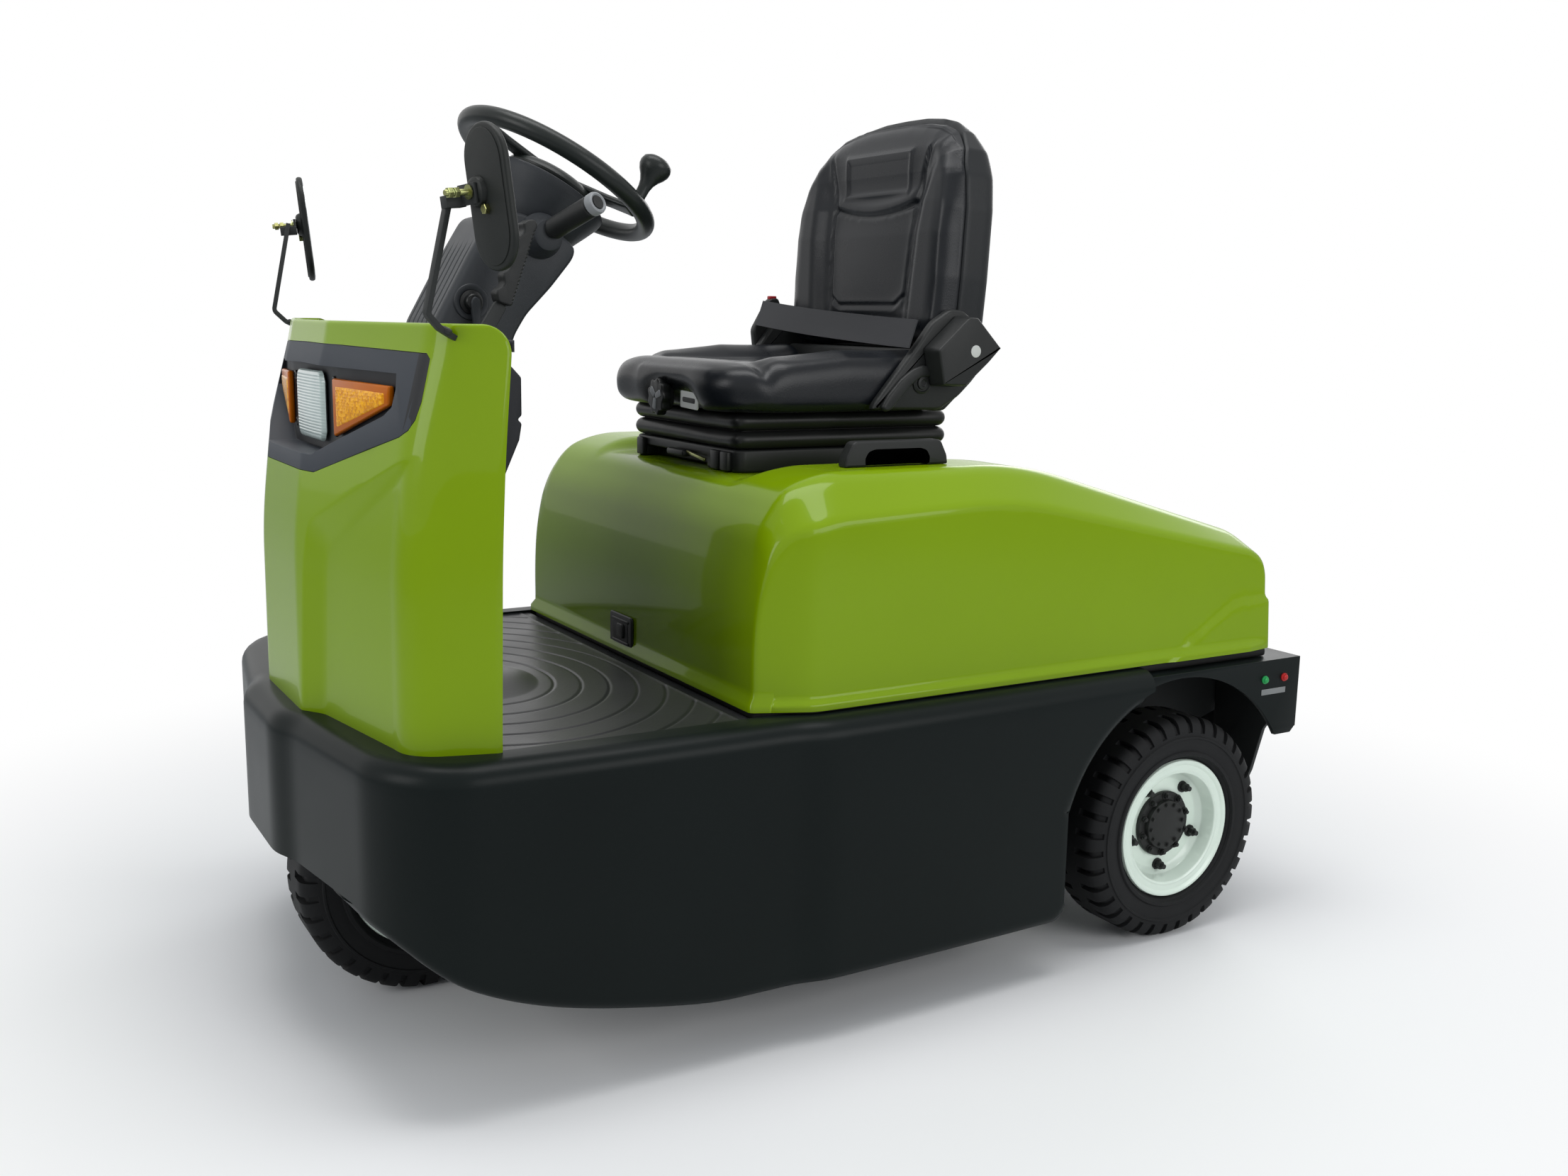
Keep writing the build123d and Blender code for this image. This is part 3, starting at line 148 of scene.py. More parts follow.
def finish(name, colour, roughness, grain=400.0, depth=0.15, mottle=0.12, spread=0.08, patch=14.0, metal=0.0,
           coat=0.0, coat_rough=0.1, dust=None, second=None, shine=0.22):
    """Material: base colour with soft mottling, a fine grain in bump and gloss, and dust on level faces."""
    material = bpy.data.materials.new(name)
    material.use_nodes = True
    nodes, links = material.node_tree.nodes, material.node_tree.links
    shader = nodes["Principled BSDF"]
    shader.inputs["Metallic"].default_value = metal
    shader.inputs["Specular IOR Level"].default_value = shine
    shader.inputs["Coat Weight"].default_value = coat
    shader.inputs["Coat Roughness"].default_value = coat_rough
    where = nodes.new("ShaderNodeTexCoord")
    cloud = nodes.new("ShaderNodeTexNoise")
    cloud.inputs["Scale"].default_value = patch
    cloud.inputs["Detail"].default_value = 5.0
    links.new(where.outputs["Object"], cloud.inputs["Vector"])
    tint = nodes.new("ShaderNodeMix")
    tint.data_type = "RGBA"
    tint.inputs["A"].default_value = (*[c * (1 - mottle) for c in colour], 1)
    tint.inputs["B"].default_value = (*(second or [min(1.0, c * (1 + mottle)) for c in colour]), 1)
    links.new(cloud.outputs["Fac"], tint.inputs["Factor"])
    top = tint
    if dust:
        shape = nodes.new("ShaderNodeNewGeometry")
        split = nodes.new("ShaderNodeSeparateXYZ")
        links.new(shape.outputs["Normal"], split.inputs[0])
        level = nodes.new("ShaderNodeMapRange")
        level.inputs["From Min"].default_value = 0.35
        level.inputs["From Max"].default_value = 1.0
        level.inputs["To Max"].default_value = dust[1]
        links.new(split.outputs["Z"], level.inputs["Value"])
        patchy = nodes.new("ShaderNodeMath")
        patchy.operation = "MULTIPLY"
        links.new(level.outputs[0], patchy.inputs[0])
        links.new(cloud.outputs["Fac"], patchy.inputs[1])
        top = nodes.new("ShaderNodeMix")
        top.data_type = "RGBA"
        top.inputs["B"].default_value = (*dust[0], 1)
        links.new(patchy.outputs[0], top.inputs["Factor"])
        links.new(tint.outputs["Result"], top.inputs["A"])
    links.new(top.outputs["Result"], shader.inputs["Base Color"])
    fine = nodes.new("ShaderNodeTexNoise")
    fine.inputs["Scale"].default_value = grain
    fine.inputs["Detail"].default_value = 3.0
    links.new(where.outputs["Object"], fine.inputs["Vector"])
    gloss = nodes.new("ShaderNodeMapRange")
    gloss.inputs["To Min"].default_value = max(0.02, roughness - spread)
    gloss.inputs["To Max"].default_value = min(1.0, roughness + spread)
    links.new(cloud.outputs["Fac"], gloss.inputs["Value"])
    links.new(gloss.outputs[0], shader.inputs["Roughness"])
    bump = nodes.new("ShaderNodeBump")
    bump.inputs["Strength"].default_value = depth
    bump.inputs["Distance"].default_value = 0.0006
    links.new(fine.outputs["Fac"], bump.inputs["Height"])
    links.new(bump.outputs[0], shader.inputs["Normal"])
    return material


def rounded(node, material, width=0.0, segments=2, limit=30.0, angle=32.0):
    """Merged copy of a CAD node with its sharp edges rounded, which stands for that node."""
    mesh = frame["nodes"][node].data.copy()
    mesh.name = node + "_made"
    work = bmesh.new()
    work.from_mesh(mesh)
    bmesh.ops.remove_doubles(work, verts=work.verts, dist=2e-5)
    bmesh.ops.dissolve_limit(work, angle_limit=math.radians(0.6), verts=work.verts, edges=work.edges)
    work.to_mesh(mesh)
    work.free()
    mesh.materials.clear()
    piece = bpy.data.objects.new(mesh.name, mesh)
    bpy.context.collection.objects.link(piece)
    if width:
        bevel = piece.modifiers.new("edge", "BEVEL")
        bevel.width = width
        bevel.segments = segments
        bevel.limit_method = "ANGLE"
        bevel.angle_limit = math.radians(limit)
        made_plain(piece)
    piece.data.materials.append(material)
    piece.data.shade_smooth()
    piece.data.set_sharp_from_angle(angle=math.radians(angle))
    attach(piece, body_of_node(node))
    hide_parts(node)
    return piece


def made_plain(piece):
    """Replaces a piece's mesh with what its modifiers give."""
    graph = bpy.context.evaluated_depsgraph_get()
    old = piece.data
    piece.data = bpy.data.meshes.new_from_object(piece.evaluated_get(graph))
    piece.modifiers.clear()
    bpy.data.meshes.remove(old)


def body_of_node(node):
    return next(b for b, held in frame["record"]["behaviour"]["bodies"].items() if node in held)


def own_piece(name, points, faces, material, body, stands_for=(), angle=32.0):
    """A new piece from points and faces, on a body, hiding the CAD nodes it stands for."""
    mesh = bpy.data.meshes.new(name)
    mesh.from_pydata([tuple(map(float, p)) for p in points], [], [tuple(map(int, f)) for f in faces])
    mesh.update()
    piece = bpy.data.objects.new(name, mesh)
    bpy.context.collection.objects.link(piece)
    mesh.materials.append(material)
    mesh.shade_smooth()
    mesh.set_sharp_from_angle(angle=math.radians(angle))
    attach(piece, body)
    if stands_for:
        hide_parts(*stands_for)
    return piece


powder_black = finish("powder_black", (0.022, 0.024, 0.024), 0.5, grain=900, depth=0.2, mottle=0.25, patch=6,
                      dust=((0.09, 0.085, 0.075), 0.35))
for node in ("frame", "pedals"):
    rounded(node, powder_black, width=0.0012, segments=1)

# Drive axle, steering fork and tow coupling: castings and forgings in black paint, with a loose
# cast skin. The tow pin and the hood's hinges are zinc plated steel with a yellow passivation.
cast_black = finish("cast_black", (0.03, 0.03, 0.029), 0.62, grain=260, depth=0.9, mottle=0.3, patch=9,
                    dust=((0.11, 0.1, 0.085), 0.5))
for node in ("drive_axle", "front_fork", "tow_coupling"):
    rounded(node, cast_black, width=0.002)
yellow_zinc = finish("yellow_zinc", (0.36, 0.31, 0.12), 0.3, grain=1500, depth=0.05, mottle=0.2, patch=60, metal=1.0,
                     second=(0.27, 0.34, 0.15))
for node in ("tow_pin", "hood_hinges"):
    rounded(node, yellow_zinc, width=0.0008)
battery_grey = finish("battery_grey", (0.05, 0.055, 0.06), 0.6, grain=500, depth=0.3, mottle=0.15)
rounded("battery", battery_grey, width=0.004)

# Wheels: solid black tyres with shoulder lugs, wear dust and plain sidewalls, pressed rims in gloss
# mint-white paint, black hubs with a ring of bolts, and black nuts on the studs of the driven wheels.
tyre_rubber = finish("tyre_rubber", (0.011, 0.0115, 0.0125), 0.6, grain=700, depth=0.35, mottle=0.3, patch=11,
                     second=(0.019, 0.0195, 0.020), dust=((0.05, 0.047, 0.042), 0.08), shine=0.12)
mint_paint = finish("mint_paint", (0.74, 0.85, 0.75), 0.30, grain=220, depth=0.05, mottle=0.04, spread=0.05,
                    coat=0.6, coat_rough=0.06, shine=0.5)
hub_black = finish("hub_black", (0.018, 0.019, 0.018), 0.42, grain=420, depth=0.25, mottle=0.3, patch=25)
wheel_z, lugs = 0.190, 36
# columns: place, x, y, side that shows, body
wheel_places = [
    ("rear_left", -0.520, 0.405, 1, "rear_wheel_left"),
    ("rear_right", -0.520, -0.405, -1, "rear_wheel_right"),
    ("front", 0.630, 0.0, 1, "front_wheel"),
]


def turned(name, outline, centre, out, material, body):
    """Body of revolution about a wheel's axle. outline rows are radius and distance out from the centre plane."""
    points, faces = [], []
    n, steps = len(outline), 96
    for step in range(steps):
        turn_by = 2 * math.pi * step / steps
        for radius, reach in outline:
            points.append((centre[0] + radius * math.cos(turn_by), centre[1] + out * reach,
                           centre[2] + radius * math.sin(turn_by)))
    for step in range(steps):
        for k in range(n):
            a, b = step * n + k, step * n + (k + 1) % n
            c, d = ((step + 1) % steps) * n + (k + 1) % n, ((step + 1) % steps) * n + k
            faces.append((a, b, c, d) if out < 0 else (d, c, b, a))
    return own_piece(name, points, faces, material, body)


def nut_ring_tree():
    """Node tree: nuts or bolt heads round a circle, each a six-sided block with a crown on a washer."""
    tree = bpy.data.node_groups.new("nut_ring", "GeometryNodeTree")
    face = tree.interface
    face.new_socket("Geometry", in_out="OUTPUT", socket_type="NodeSocketGeometry")
    for label, kind in (("Count", "NodeSocketInt"), ("Ring Radius", "NodeSocketFloat"),
                        ("Nut Radius", "NodeSocketFloat"), ("Nut Height", "NodeSocketFloat"),
                        ("Sides", "NodeSocketInt"), ("Turn", "NodeSocketFloat"),
                        ("Finish", "NodeSocketMaterial")):
        face.new_socket(label, in_out="INPUT", socket_type=kind)
    nodes, links = tree.nodes, tree.links
    given = nodes.new("NodeGroupInput")
    out = nodes.new("NodeGroupOutput")
    ring = nodes.new("GeometryNodeMeshCircle")
    links.new(given.outputs["Count"], ring.inputs["Vertices"])
    links.new(given.outputs["Ring Radius"], ring.inputs["Radius"])
    turned_ring = nodes.new("GeometryNodeTransform")
    spin = nodes.new("ShaderNodeCombineXYZ")
    links.new(given.outputs["Turn"], spin.inputs["Z"])
    links.new(spin.outputs[0], turned_ring.inputs["Rotation"])
    links.new(ring.outputs[0], turned_ring.inputs["Geometry"])
    joined = nodes.new("GeometryNodeJoinGeometry")
    # columns: share of the radius, share of the height, sides by the input
    for radius_share, height_share, hexed in ((1.45, 0.18, False), (1.0, 0.85, True), (0.6, 1.25, False)):
        barrel = nodes.new("GeometryNodeMeshCylinder")
        barrel.inputs["Vertices"].default_value = 14
        if hexed:
            links.new(given.outputs["Sides"], barrel.inputs["Vertices"])
        wide = nodes.new("ShaderNodeMath")
        wide.operation = "MULTIPLY"
        wide.inputs[1].default_value = radius_share
        links.new(given.outputs["Nut Radius"], wide.inputs[0])
        links.new(wide.outputs[0], barrel.inputs["Radius"])
        tall = nodes.new("ShaderNodeMath")
        tall.operation = "MULTIPLY"
        tall.inputs[1].default_value = height_share
        links.new(given.outputs["Nut Height"], tall.inputs[0])
        links.new(tall.outputs[0], barrel.inputs["Depth"])
        half = nodes.new("ShaderNodeMath")
        half.operation = "MULTIPLY"
        half.inputs[1].default_value = 0.5
        links.new(tall.outputs[0], half.inputs[0])
        raise_by = nodes.new("ShaderNodeCombineXYZ")
        links.new(half.outputs[0], raise_by.inputs["Z"])
        lifted = nodes.new("GeometryNodeTransform")
        links.new(barrel.outputs[0], lifted.inputs["Geometry"])
        links.new(raise_by.outputs[0], lifted.inputs["Translation"])
        links.new(lifted.outputs[0], joined.inputs[0])
    placed = nodes.new("GeometryNodeInstanceOnPoints")
    links.new(turned_ring.outputs[0], placed.inputs["Points"])
    links.new(joined.outputs[0], placed.inputs["Instance"])
    real = nodes.new("GeometryNodeRealizeInstances")
    links.new(placed.outputs[0], real.inputs[0])
    dressed = nodes.new("GeometryNodeSetMaterial")
    links.new(real.outputs[0], dressed.inputs["Geometry"])
    links.new(given.outputs["Finish"], dressed.inputs["Material"])
    links.new(dressed.outputs[0], out.inputs[0])
    return tree


nut_ring = nut_ring_tree()


def grown(name, tree, settings, place, body):
    """Plain mesh of what a node tree makes from its named settings, moved to its place."""
    piece = bpy.data.objects.new(name, bpy.data.meshes.new(name))
    bpy.context.collection.objects.link(piece)
    maker = piece.modifiers.new(name, "NODES")
    maker.node_group = tree
    sockets = {s.name: s.identifier for s in tree.interface.items_tree if s.in_out == "INPUT"}
    for label, value in settings.items():
        maker[sockets[label]] = value
    made_plain(piece)
    piece.data.transform(place)
    piece.data.shade_smooth()
    piece.data.set_sharp_from_angle(angle=math.radians(32))
    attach(piece, body)
    return piece


def facing(centre, direction):
    """Matrix that stands local Z along a direction at a point."""
    return Matrix.Translation(centre) @ Vector(direction).to_track_quat("Z", "Y").to_matrix().to_4x4()


# Tread: lugs in a row on each side, the two sides half a pitch apart, cut over the shoulder and down onto the wall.
# columns: radius, distance out from the centre plane, depth of a notch there
tread = [(190, 6, 0), (190, 14, 0), (190, 15, 9), (190, 26, 9.5), (190, 36, 9.5), (188.6, 42, 9.5), (185, 47.5, 9),
         (180, 51.5, 8.5), (174, 54, 7.5), (169, 55.2, 6.5), (166.4, 55.7, 5), (165.6, 55.8, 0), (162, 56.2, 0),
         (154, 56.5, 0), (144, 55.8, 0), (134, 54.2, 0), (127, 52.4, 0), (123, 49, 0), (120, 44, 0), (101.2, 40, 0)]
pitch_shares = [0, 0.15, 0.17, 0.25, 0.33, 0.35, 0.5, 0.65, 0.67, 0.75, 0.83, 0.85]


def tyre_mesh(centre, out):
    """Points and faces of a tyre about its own centre."""
    spin = np.array([(lug + share) * 2 * math.pi / lugs for lug in range(lugs) for share in pitch_shares])
    shares = np.tile(pitch_shares, lugs)
    in_gap = {1: (shares > 0.34) & (shares < 0.66), -1: (shares < 0.16) | (shares > 0.84)}
    rows = [(r, reach, deep, 1) for r, reach, deep in tread] + [(r, reach, deep, -1) for r, reach, deep in tread[::-1]]
    points = []
    for r, reach, deep, half in rows:
        lean = math.radians(min(90.0, max(0.0, (reach - 33) * 4.0)))
        cut = in_gap[half] * deep
        radius = r - cut * math.cos(lean)
        across = half * (reach - cut * math.sin(lean) * 0.7) * out
        points.append(np.stack([radius * np.cos(spin), across, radius * np.sin(spin)], 1))
    points = np.array(points) / 1000.0 + centre
    m, n = len(rows), len(spin)
    faces = []
    for r in range(m):
        for k in range(n):
            quad = (r * n + k, r * n + (k + 1) % n, ((r + 1) % m) * n + (k + 1) % n, ((r + 1) % m) * n + k)
            faces.append(quad if out < 0 else quad[::-1])
    return points.reshape(-1, 3), faces


for place, x, y, out, body in wheel_places:
    tyre_points, tyre_faces = tyre_mesh((x, y, wheel_z), out)
    own_piece(f"tyre_{place}_made", tyre_points, tyre_faces, tyre_rubber, body, (f"tyre_{place}",), 26)
    rounded(f"rim_{place}", mint_paint, width=0.0025, segments=3, angle=40)
    rounded(f"hub_{place}", hub_black, width=0.003)
    centre = (x, y, wheel_z)
    for side_name, showing in (("out", out), ("in", -out)):
        rings = [(0.1545, 0.0556), (0.1565, 0.0584), (0.1595, 0.0584), (0.1615, 0.0553)]
        turned(f"tyre_{place}_ring_{side_name}", rings, centre, showing, tyre_rubber, body)
        rings = [(0.1255, 0.0525), (0.1275, 0.0568), (0.1325, 0.0570), (0.1345, 0.0548)]
        turned(f"tyre_{place}_bead_{side_name}", rings, centre, showing, tyre_rubber, body)
    rolled = [(0.1182, 0.0445), (0.1184, 0.0475), (0.1172, 0.0498), (0.1145, 0.0505), (0.1118, 0.0498),
              (0.1098, 0.0478), (0.1075, 0.0462), (0.1040, 0.0458), (0.1005, 0.0470), (0.0975, 0.0475),
              (0.0950, 0.0462), (0.0936, 0.0430), (0.0932, 0.0380), (0.0948, 0.0380), (0.0948, 0.0440)]
    turned(f"rim_{place}_bead", rolled, centre, out, mint_paint, body)
    flange = [(0.0423, 0.0150), (0.0560, 0.0150), (0.0560, 0.0200), (0.0545, 0.0218), (0.0423, 0.0218)]
    turned(f"hub_{place}_flange", flange, centre, out, hub_black, body)
    for name, count, ring_radius, nut_radius, height, turn_by, reach in (
            (f"hub_{place}_bolts", 10, 0.0495, 0.0050, 0.007, 0.3, 0.0217),
            (f"hub_{place}_teeth", 12, 0.0355, 0.0034, 0.003, 0.1, 0.0298),
            (f"wheel_nuts_{place}", 5, 0.073, 0.0072, 0.0150, 0.9, 0.0148)):
        sizes = {"Count": count, "Ring Radius": ring_radius, "Nut Radius": nut_radius, "Nut Height": height,
                 "Sides": 6, "Turn": turn_by, "Finish": hub_black}
        grown(name, nut_ring, sizes, facing((x, y + out * reach, wheel_z), (0, out, 0)), body)

# Skirt: one thick moulded shell round the tug in satin charcoal, with a rolled top edge, soft nose
# corners and a lip turned in round the wheel arches. It is bolted to the frame through its top flange.
charcoal = finish("charcoal", (0.0050, 0.0078, 0.0076), 0.32, grain=520, depth=0.1, mottle=0.14, spread=0.06, patch=5,
                  dust=((0.03, 0.032, 0.03), 0.1), shine=0.1)


def along(points, step):
    """Points along a polyline at about the given step, keeping its own corners."""
    made = [points[0]]
    for a, b in zip(points, points[1:]):
        count = max(1, round(math.dist(a, b) / step))
        made += [tuple(p + (q - p) * k / count for p, q in zip(a, b)) for k in range(1, count + 1)]
    return np.array(made)


def softened(points, reach):
    """Rounds the corners of evenly spaced points; reach is the number of points on either side."""
    before, after = 2 * points[0] - points[reach:0:-1], 2 * points[-1] - points[-2:-reach - 2:-1]
    longer = np.vstack([before, points, after])
    kernel = np.hanning(2 * reach + 3)[1:-1]
    kernel /= kernel.sum()
    return np.stack([np.convolve(longer[:, k], kernel, "valid") for k in range(points.shape[1])], 1)


def roll(distance, radius):
    """How far an edge of the given radius turns in, at a distance from it."""
    short = np.clip(radius - distance, 0, radius)
    return radius - np.sqrt(radius ** 2 - short ** 2)


def grid_faces(rows, columns, start=0):
    """Faces of a grid of points laid out row by row."""
    k = start + np.arange(rows * columns).reshape(rows, columns)
    return np.stack([k[:-1, :-1], k[:-1, 1:], k[1:, 1:], k[1:, :-1]], -1).reshape(-1, 4)


def shell(name, points, faces, thickness, material, node, body="chassis", angle=40.0):
    """Closed shell of the given thickness behind a surface given in mm ahead of the rear axle."""
    points = np.array(points, float) / 1000.0 + (rear_axle_x, 0, 0)
    mesh = bpy.data.meshes.new(name)
    mesh.from_pydata(points.tolist(), [], [tuple(map(int, f)) for f in faces])
    piece = bpy.data.objects.new(name, mesh)
    bpy.context.collection.objects.link(piece)
    work = bmesh.new()
    work.from_mesh(mesh)
    bmesh.ops.remove_doubles(work, verts=work.verts, dist=1e-5)
    work.to_mesh(mesh)
    work.free()
    wall = piece.modifiers.new("wall", "SOLIDIFY")
    wall.thickness = thickness / 1000.0
    wall.offset = -1.0
    made_plain(piece)
    piece.data.materials.append(material)
    piece.data.shade_smooth()
    piece.data.set_sharp_from_angle(angle=math.radians(angle))
    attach(piece, body)
    if node:
        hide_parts(node)
    return piece


skirt_top, top_roll = 464.0, 18.0
arch_x, arch_z, arch_radius, arch_front = 20.0, 190.0, 265.0, 272.0
bow = [(1230 - k * (1230 - 95) / 24.0) for k in range(25)]
bow_y = [461 + (1230 - x) * 25 / 506 - 0.5 * 25 * ((1230 - x) / 506) ** 2 * 0.9 if x > 724 else
         486 - 14 * ((724 - x) / 629) ** 2 for x in bow]
nose = [(1370, 0), (1370, 90), (1352, 135), (1317, 370), (1297, 410), (1267, 442)]
plan_line = softened(along(nose + list(zip(bow, bow_y)), 6.0), 5)
plan_line[0], plan_line[-1] = (1370, 0), (95, 472)
# columns: x, z of the lower edge
lower_edge = [(0, 101), (880, 101), (954, 112), (1054, 131), (1123, 149), (1182, 171), (1248, 206), (1299, 252),
              (1330, 270), (1400, 285)]
tangent = np.gradient(plan_line, axis=0)
outward = np.stack([-tangent[:, 1], tangent[:, 0]], 1) * -1
outward /= np.linalg.norm(outward, axis=1)[:, None]
x_line = plan_line[:, 0]
edge_low = softened(np.stack([x_line, np.interp(x_line, *zip(*lower_edge))], 1), 9)[:, 1]
# The rear lower corner is rounded, and the arch takes over behind it.
corner = np.clip(20 - (x_line - arch_front), 0, 20)
edge_low = edge_low + 20 - np.sqrt(400 - corner ** 2)
reach = np.sqrt(np.maximum(arch_radius ** 2 - (x_line - arch_x) ** 2, 0))
sill = arch_z + math.sqrt(arch_radius ** 2 - (arch_front - arch_x) ** 2)
edge_mid = np.where(x_line < arch_front, arch_z + reach, sill)
# Where the arch runs up into the rolled edge, the roll is cut by it too.
roll_foot = np.maximum(skirt_top - top_roll, np.where(x_line < arch_front, edge_mid, 0))


def roll_inset(z):
    """How far the rolled top edge stands in at a height."""
    return top_roll - np.sqrt(top_roll ** 2 - np.clip(z - skirt_top + top_roll, 0, top_roll) ** 2)


points, faces = [], []
for side_y in (1, -1):
    # wall above the sill, with its roll over into the top flange
    rows = [(46.0, skirt_top)] + [(None, skirt_top - top_roll + top_roll * math.cos(a))
                                  for a in np.radians(np.arange(0, 91, 15))]
    shares = np.concatenate([np.linspace(0, 1, 14)[1:-2], [0.93, 0.96, 0.98, 0.99, 1.0]])
    block = []
    for inset, level in rows:
        z = np.maximum(level, roll_foot)
        inset = roll_inset(z) if inset is None else np.full(len(z), inset)
        block.append(np.column_stack([plan_line - outward * inset[:, None], z]))
    for share in shares:
        z = roll_foot + (np.minimum(edge_mid, roll_foot) - roll_foot) * share
        gap = np.hypot(x_line - arch_x, z - arch_z) - arch_radius
        inset = np.where((x_line < arch_front + 14) & (x_line > 125), roll(np.maximum(gap, 0), 5.0), 0) + roll_inset(z)
        block.append(np.column_stack([plan_line - outward * inset[:, None], z]))
    block = np.array(block) * (1, side_y, 1)
    made = grid_faces(len(block), len(x_line), len(points))
    faces += list(made if side_y > 0 else made[:, ::-1])
    points += list(block.reshape(-1, 3))
    # wall below the sill, ahead of the arch
    ahead = x_line >= arch_front - 3.1
    low, line, out = edge_low[ahead], plan_line[ahead], outward[ahead]
    block = []
    for share in np.concatenate([np.linspace(0, 0.9, 12), [0.94, 0.97, 0.99, 1.0]]):
        z = sill + (low - sill) * share
        gap = np.minimum(line[:, 0] - arch_front + 3, z - low)
        block.append(np.column_stack([line - out * roll(np.maximum(gap, 0), 6.0)[:, None], z]))
    block = np.array(block) * (1, side_y, 1)
    made = grid_faces(len(block), len(line), len(points))
    faces += list(made if side_y > 0 else made[:, ::-1])
    points += list(block.reshape(-1, 3))
shell("skirt_shell", points, faces, 12.0, charcoal, "skirt", angle=60)

# Rear deck and its arch cheeks: folded sheet in the same charcoal, with a green and a red push button and
# a blank label strip on the left cheek.
rounded("rear_deck", charcoal, width=0.003, segments=3, limit=25)
button_green = finish("button_green", (0.02, 0.30, 0.08), 0.3, grain=800, depth=0.1)
button_red = finish("button_red", (0.42, 0.02, 0.02), 0.3, grain=800, depth=0.1)
label_grey = finish("label_grey", (0.20, 0.21, 0.21), 0.45, grain=900, depth=0.1)


def mm(x, y, z):
    """Point of the scene, from mm ahead of the rear axle, to the left, and up."""
    return Vector((rear_axle_x + x / 1000.0, y / 1000.0, z / 1000.0))


def lathe(name, outline, place, direction, material, body, steps=32, angle=32.0):
    """Solid of revolution about a line. outline rows are radius and distance along it in mm."""
    stand = facing(place, direction)
    points, faces, n = [], [], len(outline)
    for step in range(steps):
        turn_by = 2 * math.pi * step / steps
        for radius, height in outline:
            radius = max(radius, 0.01) / 1000.0
            points.append(stand @ Vector((radius * math.cos(turn_by), radius * math.sin(turn_by), height / 1000.0)))
    for step in range(steps):
        for k in range(n - 1):
            a, b = step * n + k, step * n + k + 1
            c, d = ((step + 1) % steps) * n + k + 1, ((step + 1) % steps) * n + k
            faces.append((a, d, c, b))
    faces.append(tuple(step * n for step in reversed(range(steps))))
    faces.append(tuple(step * n + n - 1 for step in range(steps)))
    return own_piece(name, points, faces, material, body, angle=angle)


button = [(7, 0), (7, 2.2), (6.2, 3), (5.2, 3), (5, 3.2), (5, 5), (4, 6), (2, 6.6), (0, 6.8)]
for x, paint, label in ((-170, button_green, "green"), (-217, button_red, "red")):
    lathe(f"button_{label}", button, mm(x, 472, 431), (0, 1, 0), paint, "chassis")


def bar(name, low, high, material, body, soft=1.0, turn=None, segments=2):
    """Block with rounded edges between two corners in mm, then turned about its centre."""
    mesh = bpy.data.meshes.new(name)
    work = bmesh.new()
    bmesh.ops.create_cube(work, size=1.0)
    size = [(b - a) / 1000.0 for a, b in zip(low, high)]
    bmesh.ops.scale(work, vec=size, verts=work.verts)
    bmesh.ops.bevel(work, geom=list(work.edges), offset=soft / 1000.0, segments=segments, affect="EDGES", profile=0.5)
    work.to_mesh(mesh)
    work.free()
    centre = mm(*[(a + b) / 2 for a, b in zip(low, high)])
    mesh.transform(Matrix.Translation(centre) @ (turn.to_4x4() if turn else Matrix.Identity(4)))
    piece = bpy.data.objects.new(name, mesh)
    bpy.context.collection.objects.link(piece)
    mesh.materials.append(material)
    mesh.shade_smooth()
    mesh.set_sharp_from_angle(angle=math.radians(40))
    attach(piece, body)
    return piece


bar("button_label", (-222, 471.9, 404), (-164, 472.8, 414), label_grey, "chassis", soft=0.3)

# Bulb seal under the hood's lip: black sponge rubber, pushed onto the edge of the deck.
seal_rubber = finish("seal_rubber", (0.012, 0.012, 0.012), 0.62, grain=600, depth=0.3, mottle=0.2)
rounded("hood_seal", seal_rubber, width=0.005, segments=3, limit=40)

# Floor mat: black ribbed rubber, worn grey where feet rest. Fine grooves run in open ovals round a low
# dome ahead of the seat, inside a raised border.
mat_rubber = finish("mat_rubber", (0.009, 0.011, 0.014), 0.34, grain=300, depth=0.3, mottle=0.35, patch=7,
                    spread=0.14, second=(0.024, 0.024, 0.026), shine=0.35)
mat_top, mat_half, mat_rear = 471.3, 448.0, 798.0
dome_x, dome_y, groove_pitch = 1070.0, 30.0, 39.5


def mat_reach(x):
    """Half width of the mat at a station."""
    return np.interp(x, [mat_rear, 1160, 1161, 1238, 1290], [mat_half, mat_half, 396, 365, 90])


def mat_height(x, y):
    """Height of the mat's face over its own level, in mm."""
    far = np.hypot(x - dome_x, (y - dome_y) * 0.75)
    ring = (far - 118) / groove_pitch
    near_groove = np.abs(ring - np.round(ring)) * groove_pitch
    groove = -1.6 * np.exp(-(near_groove / 1.9) ** 2) * (ring > -0.4) * (ring < 9.4)
    border = np.minimum(x - mat_rear, mat_half - np.abs(y))
    inside = border > 24
    rim = 1.2 * np.exp(-((border - 20) / 3.0) ** 2)
    dome = 15.0 * np.clip(1 - (far / 96.0) ** 2, 0, 1) ** 1.2
    return np.where(inside, groove, 0) + rim + dome


mat_x = np.concatenate([np.linspace(mat_rear, 1160, 190), np.linspace(1161, 1290, 12)])
mat_v = np.linspace(-1, 1, 400)
points = []
for x in mat_x:
    y = mat_v * mat_reach(x)
    points.append(np.column_stack([np.full(len(y), x), y, mat_top + mat_height(x, y) * (x < 1160.5)]))
points = np.array(points)
from_end, from_side = points[:, :, 0] - mat_rear, mat_reach(points[:, :, 0]) - np.abs(points[:, :, 1])
points[:, :, 2] -= roll(np.minimum(np.minimum(from_end, from_side), 50), 3.0)
top = points.reshape(-1, 3)
k = np.arange(len(top)).reshape(points.shape[:2])
rim = np.concatenate([k[0, :-1], k[:-1, -1], k[-1, :0:-1], k[:0:-1, 0]])
low = len(top) + np.arange(len(rim))
walls = np.stack([np.roll(rim, -1), rim, low, np.roll(low, -1)], 1)
